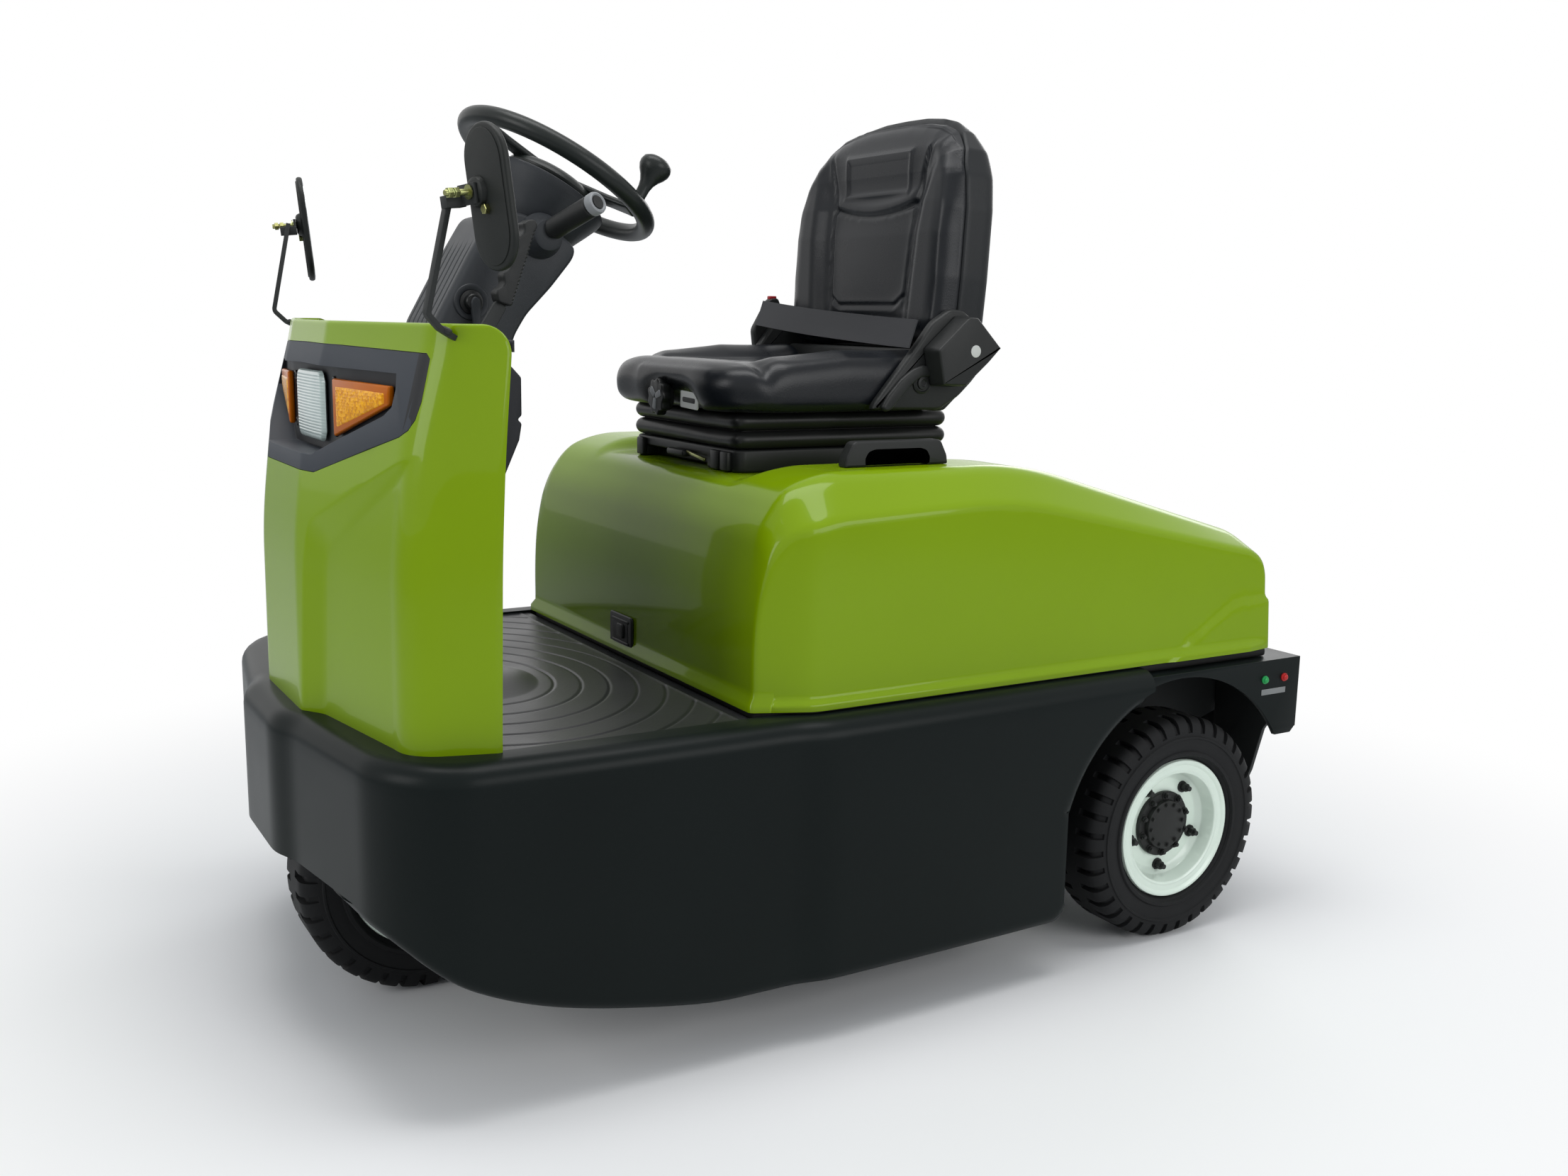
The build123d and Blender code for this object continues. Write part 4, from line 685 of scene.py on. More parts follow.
mat_points = np.vstack([top, top[rim] - (0, 0, 5)]) / 1000.0 + (rear_axle_x, 0, 0)
own_piece("mat_face", mat_points, [*grid_faces(*points.shape[:2]), *walls, low[::-1]], mat_rubber, "chassis",
          ("floor_mat",), angle=70)

# Cowl: pressed steel painted lime, with a gloss clear coat. Soft hollows either side of the centre
# column deepen towards it; the top and rear edges are rolled in, and the lamp opening is cut plain.
lime = finish("lime", (0.205, 0.328, 0.001), 0.24, grain=900, depth=0.0, mottle=0.05, spread=0.04, patch=4,
              coat=0.26, coat_rough=0.04, second=(0.212, 0.345, 0.002), shine=0.08)
# columns: z, x of the centre column, x of the rear edge, half width at the rear edge
cowl_levels = np.array([(464.3, 1340, 1166, 429), (720, 1338, 1161, 429), (850, 1322, 1154, 427),
                        (1009, 1280, 1138, 418)])
column_y, corner_y, corner_r = 100.0, 398.0, 70.0


def cowl_row(z):
    """Half of the cowl's plan section at a level: points, outward normals and distance from the rear edge."""
    window = np.linspace(-45, 45, 13)
    x_mid, x_rear, y_rear = [np.interp(np.clip(z + window, 464.3, 1009), cowl_levels[:, 0], cowl_levels[:, k]).mean()
                             for k in (1, 2, 3)]
    lift = roll(1009 - z, 38.0)
    apex, rear = np.array([x_mid - 63.5, corner_y]), np.array([x_rear, y_rear])
    start = np.array([x_mid, column_y])
    into, away = (apex - start) / np.linalg.norm(apex - start), (rear - apex) / np.linalg.norm(rear - apex)
    half_turn = math.acos(float(into @ away)) / 2
    cut = corner_r * math.tan(half_turn)
    first, last = apex - into * cut, apex + away * cut
    centre = first + np.array([-into[1], into[0]]) * corner_r * (1 if into[0] * away[1] > into[1] * away[0] else -1)
    rear = last + away * (np.linalg.norm(rear - last) - lift)
    ends = [math.atan2(*(p - centre)[::-1]) for p in (first, last)]
    arc = [centre + corner_r * np.array([math.cos(a), math.sin(a)]) for a in np.linspace(*ends, 16)]
    line = [(x_mid, y) for y in np.linspace(0, column_y, 30)]
    line += list(start + (first - start) * s for s in np.linspace(0, 1, 76)[1:])
    line += arc[1:]
    shares = np.concatenate([np.linspace(0, 0.9, 8)[1:], [0.95, 1.0]])
    line += list(last + (rear - last) * s for s in shares)
    line = softened(np.array(line), 3)
    line[0] = (x_mid, 0)
    slope = np.gradient(line, axis=0)
    out = np.stack([slope[:, 1], -slope[:, 0]], 1)
    out /= np.linalg.norm(out, axis=1)[:, None]
    from_rear = np.where(line[:, 0] < x_rear + 160, np.linalg.norm(line - line[-1], axis=1), 999)
    return line, out, from_rear


def hollow(y, z):
    """Depth of the hollow beside the centre column."""
    column_edge = np.interp(z, [400, 470, 676, 742, 800], [100, 104, 121.5, 135, 148])
    brow = 742 + (y - 135) * 0.446
    near = np.stack([y - column_edge, (brow - z) * 0.913])
    gap = near.min(0) - 0.25 * np.clip(16 - np.abs(near[0] - near[1]), 0, 16) ** 2 / 16
    bank = np.clip(gap, 0, None) / 2.6
    full = 17 - 13.6 * (y - 100) / 298
    blend = np.clip(4 - np.abs(bank - full), 0, 4)
    depth = np.minimum(bank, full) - blend ** 2 / 16
    fade = np.clip((392 - y) / 45, 0, 1)
    foot = np.clip(gap / 9.0, 0, 1)
    return np.clip(depth, 0, None) * fade * fade * (3 - 2 * fade) * (foot * (2 - foot))


def outline_gap(y, z, outline):
    """Signed distance of front-view points outside a closed convex outline given as y, z rows."""
    gap = np.full(np.shape(y), -1e9)
    closest = np.full(np.shape(y), 1e9)
    for (ay, az), (by, bz) in zip(outline, outline[1:] + outline[:1]):
        ey, ez = by - ay, bz - az
        length = math.hypot(ey, ez)
        along_it = np.clip(((y - ay) * ey + (z - az) * ez) / length ** 2, 0, 1)
        closest = np.minimum(closest, np.hypot(y - ay - along_it * ey, z - az - along_it * ez))
        gap = np.maximum(gap, ((z - az) * ey - (y - ay) * ez) / length)
    return np.where(gap > 0, closest, -closest)


bezel_half = [(0, 979), (140, 978), (368, 973), (375, 966), (377, 914), (374, 892), (366, 879), (350, 870),
              (140, 809), (0, 809)]
bezel_round = bezel_half + [(-y, z) for y, z in reversed(bezel_half[1:-1])]
cowl_z = np.concatenate([np.linspace(464.4, 800, 56), np.linspace(803, 985, 66)[1:], np.linspace(988, 1004, 7),
                         [1006, 1007.5, 1008.4, 1008.9]])
left = []
for z in cowl_z:
    line, out, from_rear = cowl_row(z)
    inset = hollow(line[:, 1], z) + roll(1009 - z, 5.0) + roll(from_rear, 3.0)
    left.append(np.column_stack([line - out * inset[:, None], np.full(len(line), z)]))
left = np.array(left)
both = np.concatenate([left[:, :0:-1] * (1, -1, 1), left], 1)
cowl = shell("cowl_shell", both.reshape(-1, 3), grid_faces(*both.shape[:2]), 6.0, lime, "cowl",
             angle=50)


def front_prism(name, outline, x_low, x_high):
    """Block with a front-view outline, between two stations."""
    count = len(outline)
    points = [mm(x, y, z) for x in (x_low, x_high) for y, z in outline]
    faces = [tuple(range(count)), tuple(reversed(range(count, 2 * count)))]
    faces += [(k, k + count, (k + 1) % count + count, (k + 1) % count) for k in range(count)]
    mesh = bpy.data.meshes.new(name)
    mesh.from_pydata([tuple(p) for p in points], [], faces)
    work = bmesh.new()
    work.from_mesh(mesh)
    bmesh.ops.recalc_face_normals(work, faces=work.faces)
    work.to_mesh(mesh)
    work.free()
    piece = bpy.data.objects.new(name, mesh)
    bpy.context.collection.objects.link(piece)
    return piece


def cut_out(piece, cutter, angle=50.0, operation="DIFFERENCE"):
    """Cuts a block out of a piece and removes the block."""
    knife = piece.modifiers.new("cut", "BOOLEAN")
    knife.operation = operation
    knife.solver = "EXACT"
    knife.object = cutter
    made_plain(piece)
    piece.data.shade_smooth()
    piece.data.set_sharp_from_angle(angle=math.radians(angle))
    bpy.data.objects.remove(cutter)


cut_out(cowl, front_prism("lamp_hole", bezel_round, 1150, 1400))

# Lamp bezel: one moulding in grained charcoal plastic with a deep pocket, held by four black screws. The pocket is the
# same plastic; its darker colour is painted shade.
bezel_plastic = finish("bezel_plastic", (0.030, 0.036, 0.046), 0.5, grain=1300, depth=0.45, mottle=0.1,
                       spread=0.05, patch=10)
# near-black painted shade for recesses, darker than the plastic round them
painted_recess_shade = finish("painted_recess_shade", (0.008, 0.009, 0.011), 0.42, grain=1300, depth=0.3, mottle=0.1)
bezel = rounded("lamp_bezel", bezel_plastic, width=0.0035, segments=3, limit=20, angle=40)
# painted shade: the faces set back into the pocket get the darker recess colour
bezel.data.materials.append(painted_recess_shade)
for face in bezel.data.polygons:
    x, y = (face.center[0] - rear_axle_x) * 1000, abs(face.center[1]) * 1000
    if x < np.interp(y, [0, 128, 296], [1278, 1278, 1250]) + 4:
        face.material_index = 1
screw_black = finish("screw_black", (0.006, 0.006, 0.006), 0.3, grain=900, depth=0.2)
screw = [(7, 0), (7, 2.0), (6.0, 3.2), (4.0, 3.6), (3.4, 2.2), (0, 2.2)]
for y in (111, -111):
    for z in (860, 928):
        lathe(f"bezel_screw_{'left' if y > 0 else 'right'}_{z}", screw, mm(1277.5, y, z), (1, 0, 0), screw_black,
              "chassis", steps=20)

# Headlamp: a moulded glass with fine level ribs and a rolled edge, in a pale colour; the white reflector behind it and
# the thin clear rim have no pieces of their own.
lamp_glass = finish("lamp_glass", (0.60, 0.70, 0.66), 0.16, grain=300, depth=0.05, mottle=0.06, patch=30,
                    second=(0.42, 0.52, 0.50), coat=0.8, coat_rough=0.05)
rows = np.linspace(845.5, 937.5, 139)
cols = np.linspace(-71, 71, 41)
points = []
for z in rows:
    half = np.interp(z, [845, 850, 858, 925, 932, 938], [56, 66, 72, 72, 67, 57])
    y = cols * half / 71.0
    edge = np.minimum(half - np.abs(y), np.minimum(z - 845, 938 - z))
    rib = 0.55 * np.cos((z - 845) * 2 * math.pi / 4.2) * (edge > 6)
    crown = 3.0 * (1 - (y / 75.0) ** 2) * (1 - ((z - 891) / 60.0) ** 2)
    points.append(np.column_stack([1284.5 + crown + rib - roll(edge, 4.0), y, np.full(len(y), z)]))
points = np.array(points)
shell("headlamp_glass", points.reshape(-1, 3), grid_faces(len(rows), len(cols))[:, ::-1], 3.0, lamp_glass,
      "headlamp", angle=50)

# Indicators: amber lenses with a plain rim, over faceted reflectors. The reflectors' bright sparks are painted glints:
# each facet cell of the lens is painted a darker or brighter amber.
amber = bpy.data.materials.new("amber_lens")
amber.use_nodes = True
nodes, links = amber.node_tree.nodes, amber.node_tree.links
shader = nodes["Principled BSDF"]
where = nodes.new("ShaderNodeTexCoord")
facets = nodes.new("ShaderNodeTexVoronoi")
facets.inputs["Scale"].default_value = 260.0
facets.inputs["Randomness"].default_value = 0.55
links.new(where.outputs["Object"], facets.inputs["Vector"])
# painted glints: the facet cells run from dark to bright amber, standing for the sparks of the reflector
painted_glint_ramp = nodes.new("ShaderNodeValToRGB")
painted_glint_ramp.color_ramp.elements[0].color = (0.72, 0.27, 0.000, 1)
painted_glint_ramp.color_ramp.elements[1].color = (1.0, 0.46, 0.002, 1)
painted_glint_ramp.color_ramp.elements[0].position, painted_glint_ramp.color_ramp.elements[1].position = 0.15, 0.85
split = nodes.new("ShaderNodeSeparateColor")
links.new(facets.outputs["Color"], split.inputs[0])
links.new(split.outputs[0], painted_glint_ramp.inputs["Fac"])
links.new(painted_glint_ramp.outputs["Color"], shader.inputs["Base Color"])
bump = nodes.new("ShaderNodeBump")
bump.inputs["Strength"].default_value = 0.6
bump.inputs["Distance"].default_value = 0.001
links.new(facets.outputs["Distance"], bump.inputs["Height"])
links.new(bump.outputs[0], shader.inputs["Normal"])
shader.inputs["Roughness"].default_value = 0.12
shader.inputs["Coat Weight"].default_value = 0.12
shader.inputs["Specular IOR Level"].default_value = 0.1
shader.inputs["Coat Roughness"].default_value = 0.03
amber_rim = finish("amber_rim", (0.46, 0.095, 0.0), 0.25, grain=400, depth=0.05, coat=0.1, coat_rough=0.04,
                   second=(0.58, 0.15, 0.0), shine=0.1)
rounded("indicators", amber_rim, width=0.003, segments=3, limit=20)
for side_name, side_y in (("left", 1), ("right", -1)):
    points = []
    for share_y in np.linspace(0, 1, 30):
        for share_z in np.linspace(0, 1, 18):
            y = 137 + share_y * 149
            high, low = np.interp(y, [137, 286], [924, 921]), np.interp(y, [137, 286], [866, 907.5])
            z = low + (high - low) * share_z
            edge = min(y - 137, 286 - y, z - low, high - z)
            floor_x = np.interp(y, [0, 128, 296], [1278, 1278, 1250])
            crown = 1.6 * math.sin(math.pi * share_y) * math.sin(math.pi * share_z)
            bulge = 2.4 - float(roll(np.float64(edge), 2.4)) + crown
            points.append((floor_x + 8.0 + bulge, side_y * y, z))
    made = grid_faces(30, 18)
    shell(f"indicator_lens_{side_name}", points, made if side_y < 0 else made[:, ::-1], 2.0, amber,
          None, angle=50)

# Hood: hinged lid over the battery, in the cowl's lime paint. Soft shoulders stand either side of the
# seat's channel; the foot is rolled out into a lip, and a low step marks the rear of each side.
# columns: x and z on the crown, x and z on the crease of the side
hood_profile = np.array([
    (795, 440, 795, 440), (795, 600, 795, 600), (788, 665, 786, 640), (774, 733, 765, 690), (739, 783, 740, 725),
    (688, 808, 707, 744), (310, 808, 369, 760), (-153, 676, -165, 645), (-182, 640, -184, 620),
    (-199, 440, -199, 440)], float)
hood_half, shoulder_y, hood_foot = 447.0, 395.0, 480.0


def blend_max(a, b, reach):
    """Larger of two distances, with a rounded change from one to the other."""
    short = np.clip(reach - np.abs(a - b), 0, None)
    return np.maximum(a, b) + short * short / (4 * reach)


def hood_gap(x, y, z):
    """Signed distance, in mm, of points outside the hood's surface."""
    y = np.abs(y)
    past = y - shoulder_y
    bend = np.clip(past + 15, 0, 30)
    share = np.where(past > 15, past, bend * bend / 60.0) / 52.0
    share = np.clip(share, 0, 1.3)
    rows = hood_profile[:, None, :2] * (1 - share[None, :, None]) + hood_profile[:, None, 2:] * share[None, :, None]
    gap = None
    soft = [8, 9, 9, 10, 12, 22, 24, 16, 12]
    for k in range(len(rows) - 1):
        (ax, az), (bx, bz) = rows[k].T, rows[k + 1].T
        ex, ez = bx - ax, bz - az
        length = np.hypot(ex, ez)
        side_gap = ((x - ax) * ez - (z - az) * ex) / length
        gap = side_gap if gap is None else blend_max(gap, side_gap, soft[k])
    slant = np.where((past > 0), 0.76, 1.0 - 0.24 * np.clip(1 + past / 26, 0, 1))
    steep = np.clip((x - 700) / 70, 0, 1)
    gap = gap * (slant + (1 - slant) * steep)
    gap = blend_max(gap, y - hood_half, 7)
    gap = blend_max(gap, ((y - 413) * 80 + (x - 795) * 34) / 86.9, 6)
    # seat channel, open to the front
    shelf = z - 787
    bank = (235 + 10 + shelf - y) * 0.707
    channel = np.minimum(shelf, np.minimum(bank, x - 230))
    kink = np.clip(14 - np.abs(shelf - bank), 0, None)
    channel = channel - kink * kink / 56
    gap = blend_max(gap, channel, 16)
    # foot rolled out, and the step along the rear of the side
    lip = 8.0 * np.exp(-(np.clip(z - 488, 0, None) / 6.0) ** 2) * np.clip((x + 195) / 50, 0, 1)
    line_z = np.interp(x, [-192, -112, 29, 60], [567, 565, 484, 470])
    step = 4.0 / (1 + np.exp(-(line_z - z) / 1.6)) * np.clip((y - 380) / 40, 0, 1)
    rear_step = 4.0 / (1 + np.exp(-(567 - z) / 1.6)) * np.clip((-150 - x) / 30, 0, 1)
    return gap - lip - np.maximum(step, rear_step)


def fitted(points, core_low, core_high, gap_of):
    """Moves points along the line from the nearest point of a core box until they lie on a surface."""
    core = np.clip(points, core_low, core_high)
    ray = points - core
    length = np.linalg.norm(ray, axis=1)[:, None]
    ray /= length
    near, far = np.zeros(len(points)), length[:, 0] + 60
    for _ in range(34):
        middle = (near + far) / 2
        outside = gap_of(*(core + ray * middle[:, None]).T) > 0
        far, near = np.where(outside, middle, far), np.where(outside, near, middle)
    return core + ray * ((near + far) / 2)[:, None]


def slope_of(points, gap_of):
    """Outward unit normals of a surface given by its signed distance."""
    step = 0.4
    slope = np.stack([gap_of(*(points + np.eye(3)[k] * step).T) - gap_of(*(points - np.eye(3)[k] * step).T)
                      for k in range(3)], 1)
    return slope / np.linalg.norm(slope, axis=1)[:, None]


profile = along([tuple(r) for r in hood_profile[:2]], 14.0)[3:]
profile = np.vstack([profile, along([tuple(r) for r in hood_profile[1:6]], 5.0)[1:],
                     along([tuple(r) for r in hood_profile[5:7]], 11.0)[1:],
                     along([tuple(r) for r in hood_profile[6:8]], 11.0)[1:],
                     along([tuple(r) for r in hood_profile[7:]], 7.0)[1:]])
profile = profile[profile[:, 1] > hood_foot + 8]
profile = np.vstack([(795, hood_foot, 795, hood_foot), profile, (-199, hood_foot, -199, hood_foot)])
steps_along = np.linalg.norm(np.diff(profile, axis=0), axis=1)
foot_x = 795 - 994 * np.concatenate([[0], np.cumsum(steps_along)]) / steps_along.sum()
across = np.concatenate([np.linspace(0, 200, 9), np.arange(208, 290, 5.0), np.linspace(292, 365, 7),
                         np.arange(370, 396, 4.2)])
half = []
for (cx, cz, sx, sz), fx in zip(profile, foot_x):
    row = [(cx, y, cz) for y in across]
    row += [(cx + (sx - cx) * s, shoulder_y + 52 * s, cz + (sz - cz) * s) for s in np.linspace(0, 1, 14)[1:]]
    fall = np.array([0.02, 0.05, 0.09, 0.14, 0.2, 0.28, 0.37, 0.46, 0.55, 0.64, 0.72, 0.79, 0.85, 0.9])
    last = max(sz - hood_foot, 0.001)
    fall = np.concatenate([fall * max(0.0, 1 - 26 / last), 1 - np.array([26, 22, 18, 14, 11, 8, 5, 2.5, 0]) / last])
    fall = np.clip(fall, 0, 1)
    row += [(sx + (fx - sx) * s, hood_half, sz + (hood_foot - sz) * s) for s in fall]
    half.append(row)
half = np.array(half)
shape = half.shape[:2]
flat = half.reshape(-1, 3)
outer = fitted(flat + (0, 0, 1e-3), (-110, 0, hood_foot + 1e-3), (690, 360, 620), hood_gap).reshape(half.shape)
# The foot lies level all round.
for line in (outer[0], outer[-1], outer[:, -1]):
    line[:, 2] = hood_foot
left, right = outer, outer[:, :0:-1] * (1, -1, 1)
both = np.concatenate([right, left], 1)
normals = slope_of(both.reshape(-1, 3), hood_gap)
inner = both.reshape(-1, 3) - normals * 7.0
inner[:, 2] = np.maximum(inner[:, 2], hood_foot)
count = both.shape[0] * both.shape[1]
faces = grid_faces(*both.shape[:2])
k = np.arange(count).reshape(both.shape[:2])
rim = np.concatenate([k[0, :-1], k[:-1, -1], k[-1, :0:-1], k[:0:-1, 0]])
rim_faces = np.stack([np.roll(rim, -1), rim, rim + count, np.roll(rim, -1) + count], 1)
all_faces = np.vstack([faces, faces[:, ::-1] + count, rim_faces])
own_piece("hood_shell", np.vstack([both.reshape(-1, 3), inner]) / 1000.0 + (rear_axle_x, 0, 0), all_faces, lime,
          "hood", ("hood",), angle=60)

# Hood latch: a black recessed paddle in a moulded frame, low on the front of the hood.
latch_plastic = finish("latch_plastic", (0.010, 0.011, 0.011), 0.34, grain=900, depth=0.25, mottle=0.2)


def closed_soft(outline, step=3.0, reach=2):
    """Closed outline at an even step with its corners rounded."""
    points = along(list(outline) + [outline[0]], step)[:-1]
    kernel = np.hanning(2 * reach + 3)[1:-1]
    kernel /= kernel.sum()
    return sum(np.roll(points, k - reach, axis=0) * w for k, w in enumerate(kernel))


def pillow(name, outline, low, high, stand, material, body, soft=2.0, stands_for=(), step=3.0, reach=2,
           relief=None, soft_at=None, rows=None):
    """Plate with rolled edges: an outline in mm, from one height to another.
    stand places it; relief(points, heights) gives how far the rim stands in at each of its points."""
    rim = closed_soft(outline, step, reach) if reach else np.array(outline, float)
    if (rim[:, 0] * np.roll(rim[:, 1], -1) - rim[:, 1] * np.roll(rim[:, 0], -1)).sum() < 0:
        rim = rim[::-1]
    slope = np.roll(rim, -1, axis=0) - np.roll(rim, 1, axis=0)
    out = np.stack([slope[:, 1], -slope[:, 0]], 1)
    out /= np.maximum(np.linalg.norm(out, axis=1), 1e-9)[:, None]
    radius = np.array([soft if soft_at is None else soft_at(u, v) for u, v in rim])
    most = float(radius.max())
    heights = [low + most * (1 - math.cos(math.radians(a))) for a in np.arange(0, 91, 22.5)]
    middle = np.linspace(heights[-1], high - most, rows or 2)[1:-1]
    heights = np.concatenate([heights, middle, [low + high - h for h in heights[::-1]]])
    points = []
    for h in heights:
        near = min(h - low, high - h)
        inset = roll(near * np.minimum(1.0, radius / most), radius) if near < most else np.zeros(len(rim))
        if relief is not None:
            inset = inset + relief(rim, h)
        ring = rim - out * inset[:, None]
        points += [stand @ Vector((u / 1000.0, v / 1000.0, h / 1000.0)) for u, v in ring]
    n, m = len(rim), len(heights)
    faces = [(r * n + k, r * n + (k + 1) % n, (r + 1) * n + (k + 1) % n, (r + 1) * n + k)
             for r in range(m - 1) for k in range(n)]
    faces += [tuple(reversed(range(n))), tuple(range((m - 1) * n, m * n))]
    return own_piece(name, points, faces, material, body, stands_for, angle=38.0)


def plane(origin, across, outward):
    """Matrix that puts local X along across and local Z along outward, at a point in mm."""
    outward = Vector(outward).normalized()
    across = (Vector(across) - outward * Vector(across).dot(outward)).normalized()
    turn = Matrix((across, outward.cross(across), outward)).transposed().to_4x4()
    return Matrix.Translation(mm(*origin)) @ turn


def from_left(y):
    """Plane seen from the tug's left: local X is forward, local Y is up, heights run to the right."""
    base = Matrix(((1, 0, 0, 0), (0, 0, -1, 0), (0, 1, 0, 0), (0, 0, 0, 1)))
    return Matrix.Translation((rear_axle_x, y / 1000.0, 0)) @ base


def rectangle(width, height, u=0.0, v=0.0):
    """Outline of a rectangle about a centre."""
    return [(u - width / 2, v - height / 2), (u + width / 2, v - height / 2), (u + width / 2, v + height / 2),
            (u - width / 2, v + height / 2)]


# The hood's two hinge ears, pressed up from its rear foot.
ears_mesh = frame["nodes"]["hood"].data.copy()
ears_mesh.materials.clear()
ears = bpy.data.objects.new("hood_ears", ears_mesh)
bpy.context.collection.objects.link(ears)
cut_out(ears, front_prism("ear_zone", [(-280, 465), (280, 465), (280, 492), (-280, 492)], -230, -200), 32, "INTERSECT")
ears.data.materials.append(lime)
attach(ears, "hood")

latch_face = plane((795.3, -18, 514), (0, 1, 0), (1, 0, 0))
pillow("latch_frame", rectangle(84, 56), 0, 4.6, latch_face, latch_plastic, "hood", soft=1.8,
       stands_for=("hood_latch",), reach=3)
# painted shade: the well round the paddle takes the darker recess colour
pillow("latch_well", rectangle(58, 34), 3.0, 5.0, latch_face, painted_recess_shade, "hood", soft=0.8)
pillow("latch_paddle", rectangle(24, 24, 2, 1), 3.0, 7.6, latch_face, latch_plastic, "hood", soft=1.6)
for v in (-15, 15):
    pillow(f"latch_rail_{'low' if v < 0 else 'high'}", rectangle(62, 5, 0, v * 1.2), 3.0, 6.4, latch_face,
           latch_plastic, "hood", soft=1.2, reach=1)

# Grab handle: a black moulded bow with wide feet, on the hood's left shoulder.
handle_plastic = finish("handle_plastic", (0.016, 0.017, 0.017), 0.44, grain=1000, depth=0.4, mottle=0.15)
bow_outline = [(609, 808.4), (607, 822), (596, 843), (590, 846), (443, 846), (437, 843), (426, 822), (424, 808.4),
               (462, 808.4), (461, 820), (466, 828), (476, 831), (557, 831), (567, 828), (572, 820), (571, 808.4)]
pillow("grab_bow", bow_outline, -11, 11, from_left(340), handle_plastic, "hood", soft=3.0,
       stands_for=("grab_handle",), step=2.5, reach=1)

# Dash: black moulded panel closing the cowl's back, with a hinged lid over the switch box on its left.
dash_plastic = finish("dash_plastic", (0.013, 0.014, 0.017), 0.5, grain=1100, depth=0.45, mottle=0.12)
dash = rounded("dash_panel", dash_plastic, width=0.004, segments=3, limit=20)
for side_name, side_y in (("left", 1), ("right", -1)):
    cut_out(dash, front_prism("dash_end", [(side_y * 322, 540), (side_y * 400, 540), (side_y * 400, 975),
                                           (side_y * 322, 975)], 1100, 1140), angle=32)
    fold = [(1128, side_y * 319), (1156, side_y * 396), (1162, side_y * 394), (1134, side_y * 317)]
    pillow(f"dash_fold_{side_name}", fold, 560, 983, Matrix.Translation((rear_axle_x, 0, 0)), dash_plastic, "chassis",
           soft=1.5, reach=0, step=20)

# Steering column: a tapered moulded shroud in grey-black plastic. Its front carries long grooves and a
# bowl on top of it holds the wheel's hub.
column_plastic = finish("column_plastic", (0.028, 0.031, 0.035), 0.42, grain=1200, depth=0.4, mottle=0.12, spread=0.06)
column_side = [(1127.7, 471.6), (1127.7, 1005), (1072, 1105), (1038, 1160), (1015, 1166), (990, 1165), (923, 1131),
               (910, 1118), (914, 1102), (949, 1060), (988, 1020), (1008, 988), (1014, 960), (1016, 900), (1100, 780),
               (1100, 471.6)]


def groove_lines(rim, height):
    """Grooves down the front of the column, at even places across it."""
    line = min(abs(height - at) for at in (-52, -31, -10, 10, 31, 52))
    front = (rim[:, 0] > 1060) & (rim[:, 1] < 1128) & (rim[:, 1] > 1000)
    fade = np.clip((1126 - rim[:, 1]) / 22, 0, 1)
    return 1.8 * math.exp(-(line / 1.7) ** 2) * front * fade


pillow("column_shroud_made", column_side, -78, 78, from_left(0), column_plastic, "chassis", soft=15.0,
       stands_for=("column_shroud",), step=6.0, reach=2, relief=groove_lines, rows=96,
       soft_at=lambda u, v: 15.0 if u > 1035 and v > 990 else 7.0)
wheel_tilt = math.radians(31)
wheel_axis = Vector((-math.sin(wheel_tilt), 0, math.cos(wheel_tilt)))
wheel_across = Vector((math.cos(wheel_tilt), 0, math.sin(wheel_tilt)))
wheel_centre = mm(910, 0, 1226)
bowl = [(0, -112), (52, -112), (62, -98), (72, -76), (82, -56), (89.5, -40), (91.2, -33), (91.6, -29), (91.0, -27),
        (89, -26.2), (86.5, -27), (85, -31), (78, -35), (0, -36)]
lathe("column_bowl", bowl, wheel_centre, wheel_axis, column_plastic, "chassis", steps=72)

# Controls on the column's left: the direction stalk on its cone, with a grey end cap, and the key lever
# in a round recess.
cap_grey = finish("cap_grey", (0.25, 0.26, 0.27), 0.38, grain=900, depth=0.15, mottle=0.1)
stalk_from, stalk_to = mm(966, 106, 1138), mm(929, 200, 1177)
cone = [(0, 0), (33, 0), (32.4, 4), (30, 10), (26.5, 20), (23.6, 29), (21.5, 34), (17, 36), (0, 36)]
lathe("stalk_cone", cone, mm(968, 78.2, 1133), (0, 1, 0), column_plastic, "chassis", steps=48)
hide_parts("column_switches")
stalk = [(0, -16), (11.5, -16), (11.5, 4), (12.5, 8), (15.2, 11), (15.6, 14), (15.6, 88), (15.2, 90), (14.6, 91),
         (15.2, 92), (15.6, 94), (15.6, 103), (14.8, 105.5), (12.6, 106.8), (12.2, 105.4), (9.6, 105.4), (9.2, 106.6),
         (0, 106.6)]
lathe("stalk_grip", stalk, stalk_from, stalk_to - stalk_from, handle_plastic, "chassis", steps=40)
cap = [(9.9, 105.2), (12.4, 106.9), (14.9, 105.9), (15.9, 103.2), (15.9, 94.4), (15.4, 94.0), (9.9, 104.0)]
cap_at = facing(stalk_from, stalk_to - stalk_from)


def ring_of(name, outline, stand, material, body, steps=48, angle=32.0):
    """Ring with a closed section, turned about a line. outline rows are radius and height in mm."""
    points, faces, n = [], [], len(outline)
    for step in range(steps):
        turn_by = 2 * math.pi * step / steps
        points += [stand @ Vector((r * math.cos(turn_by) / 1000, r * math.sin(turn_by) / 1000, h / 1000))
                   for r, h in outline]
    for step in range(steps):
        for k in range(n):
            a, b = step * n + k, step * n + (k + 1) % n
            c, d = ((step + 1) % steps) * n + (k + 1) % n, ((step + 1) % steps) * n + k
            faces.append((a, b, c, d))
    return own_piece(name, points, faces, material, body, angle=angle)


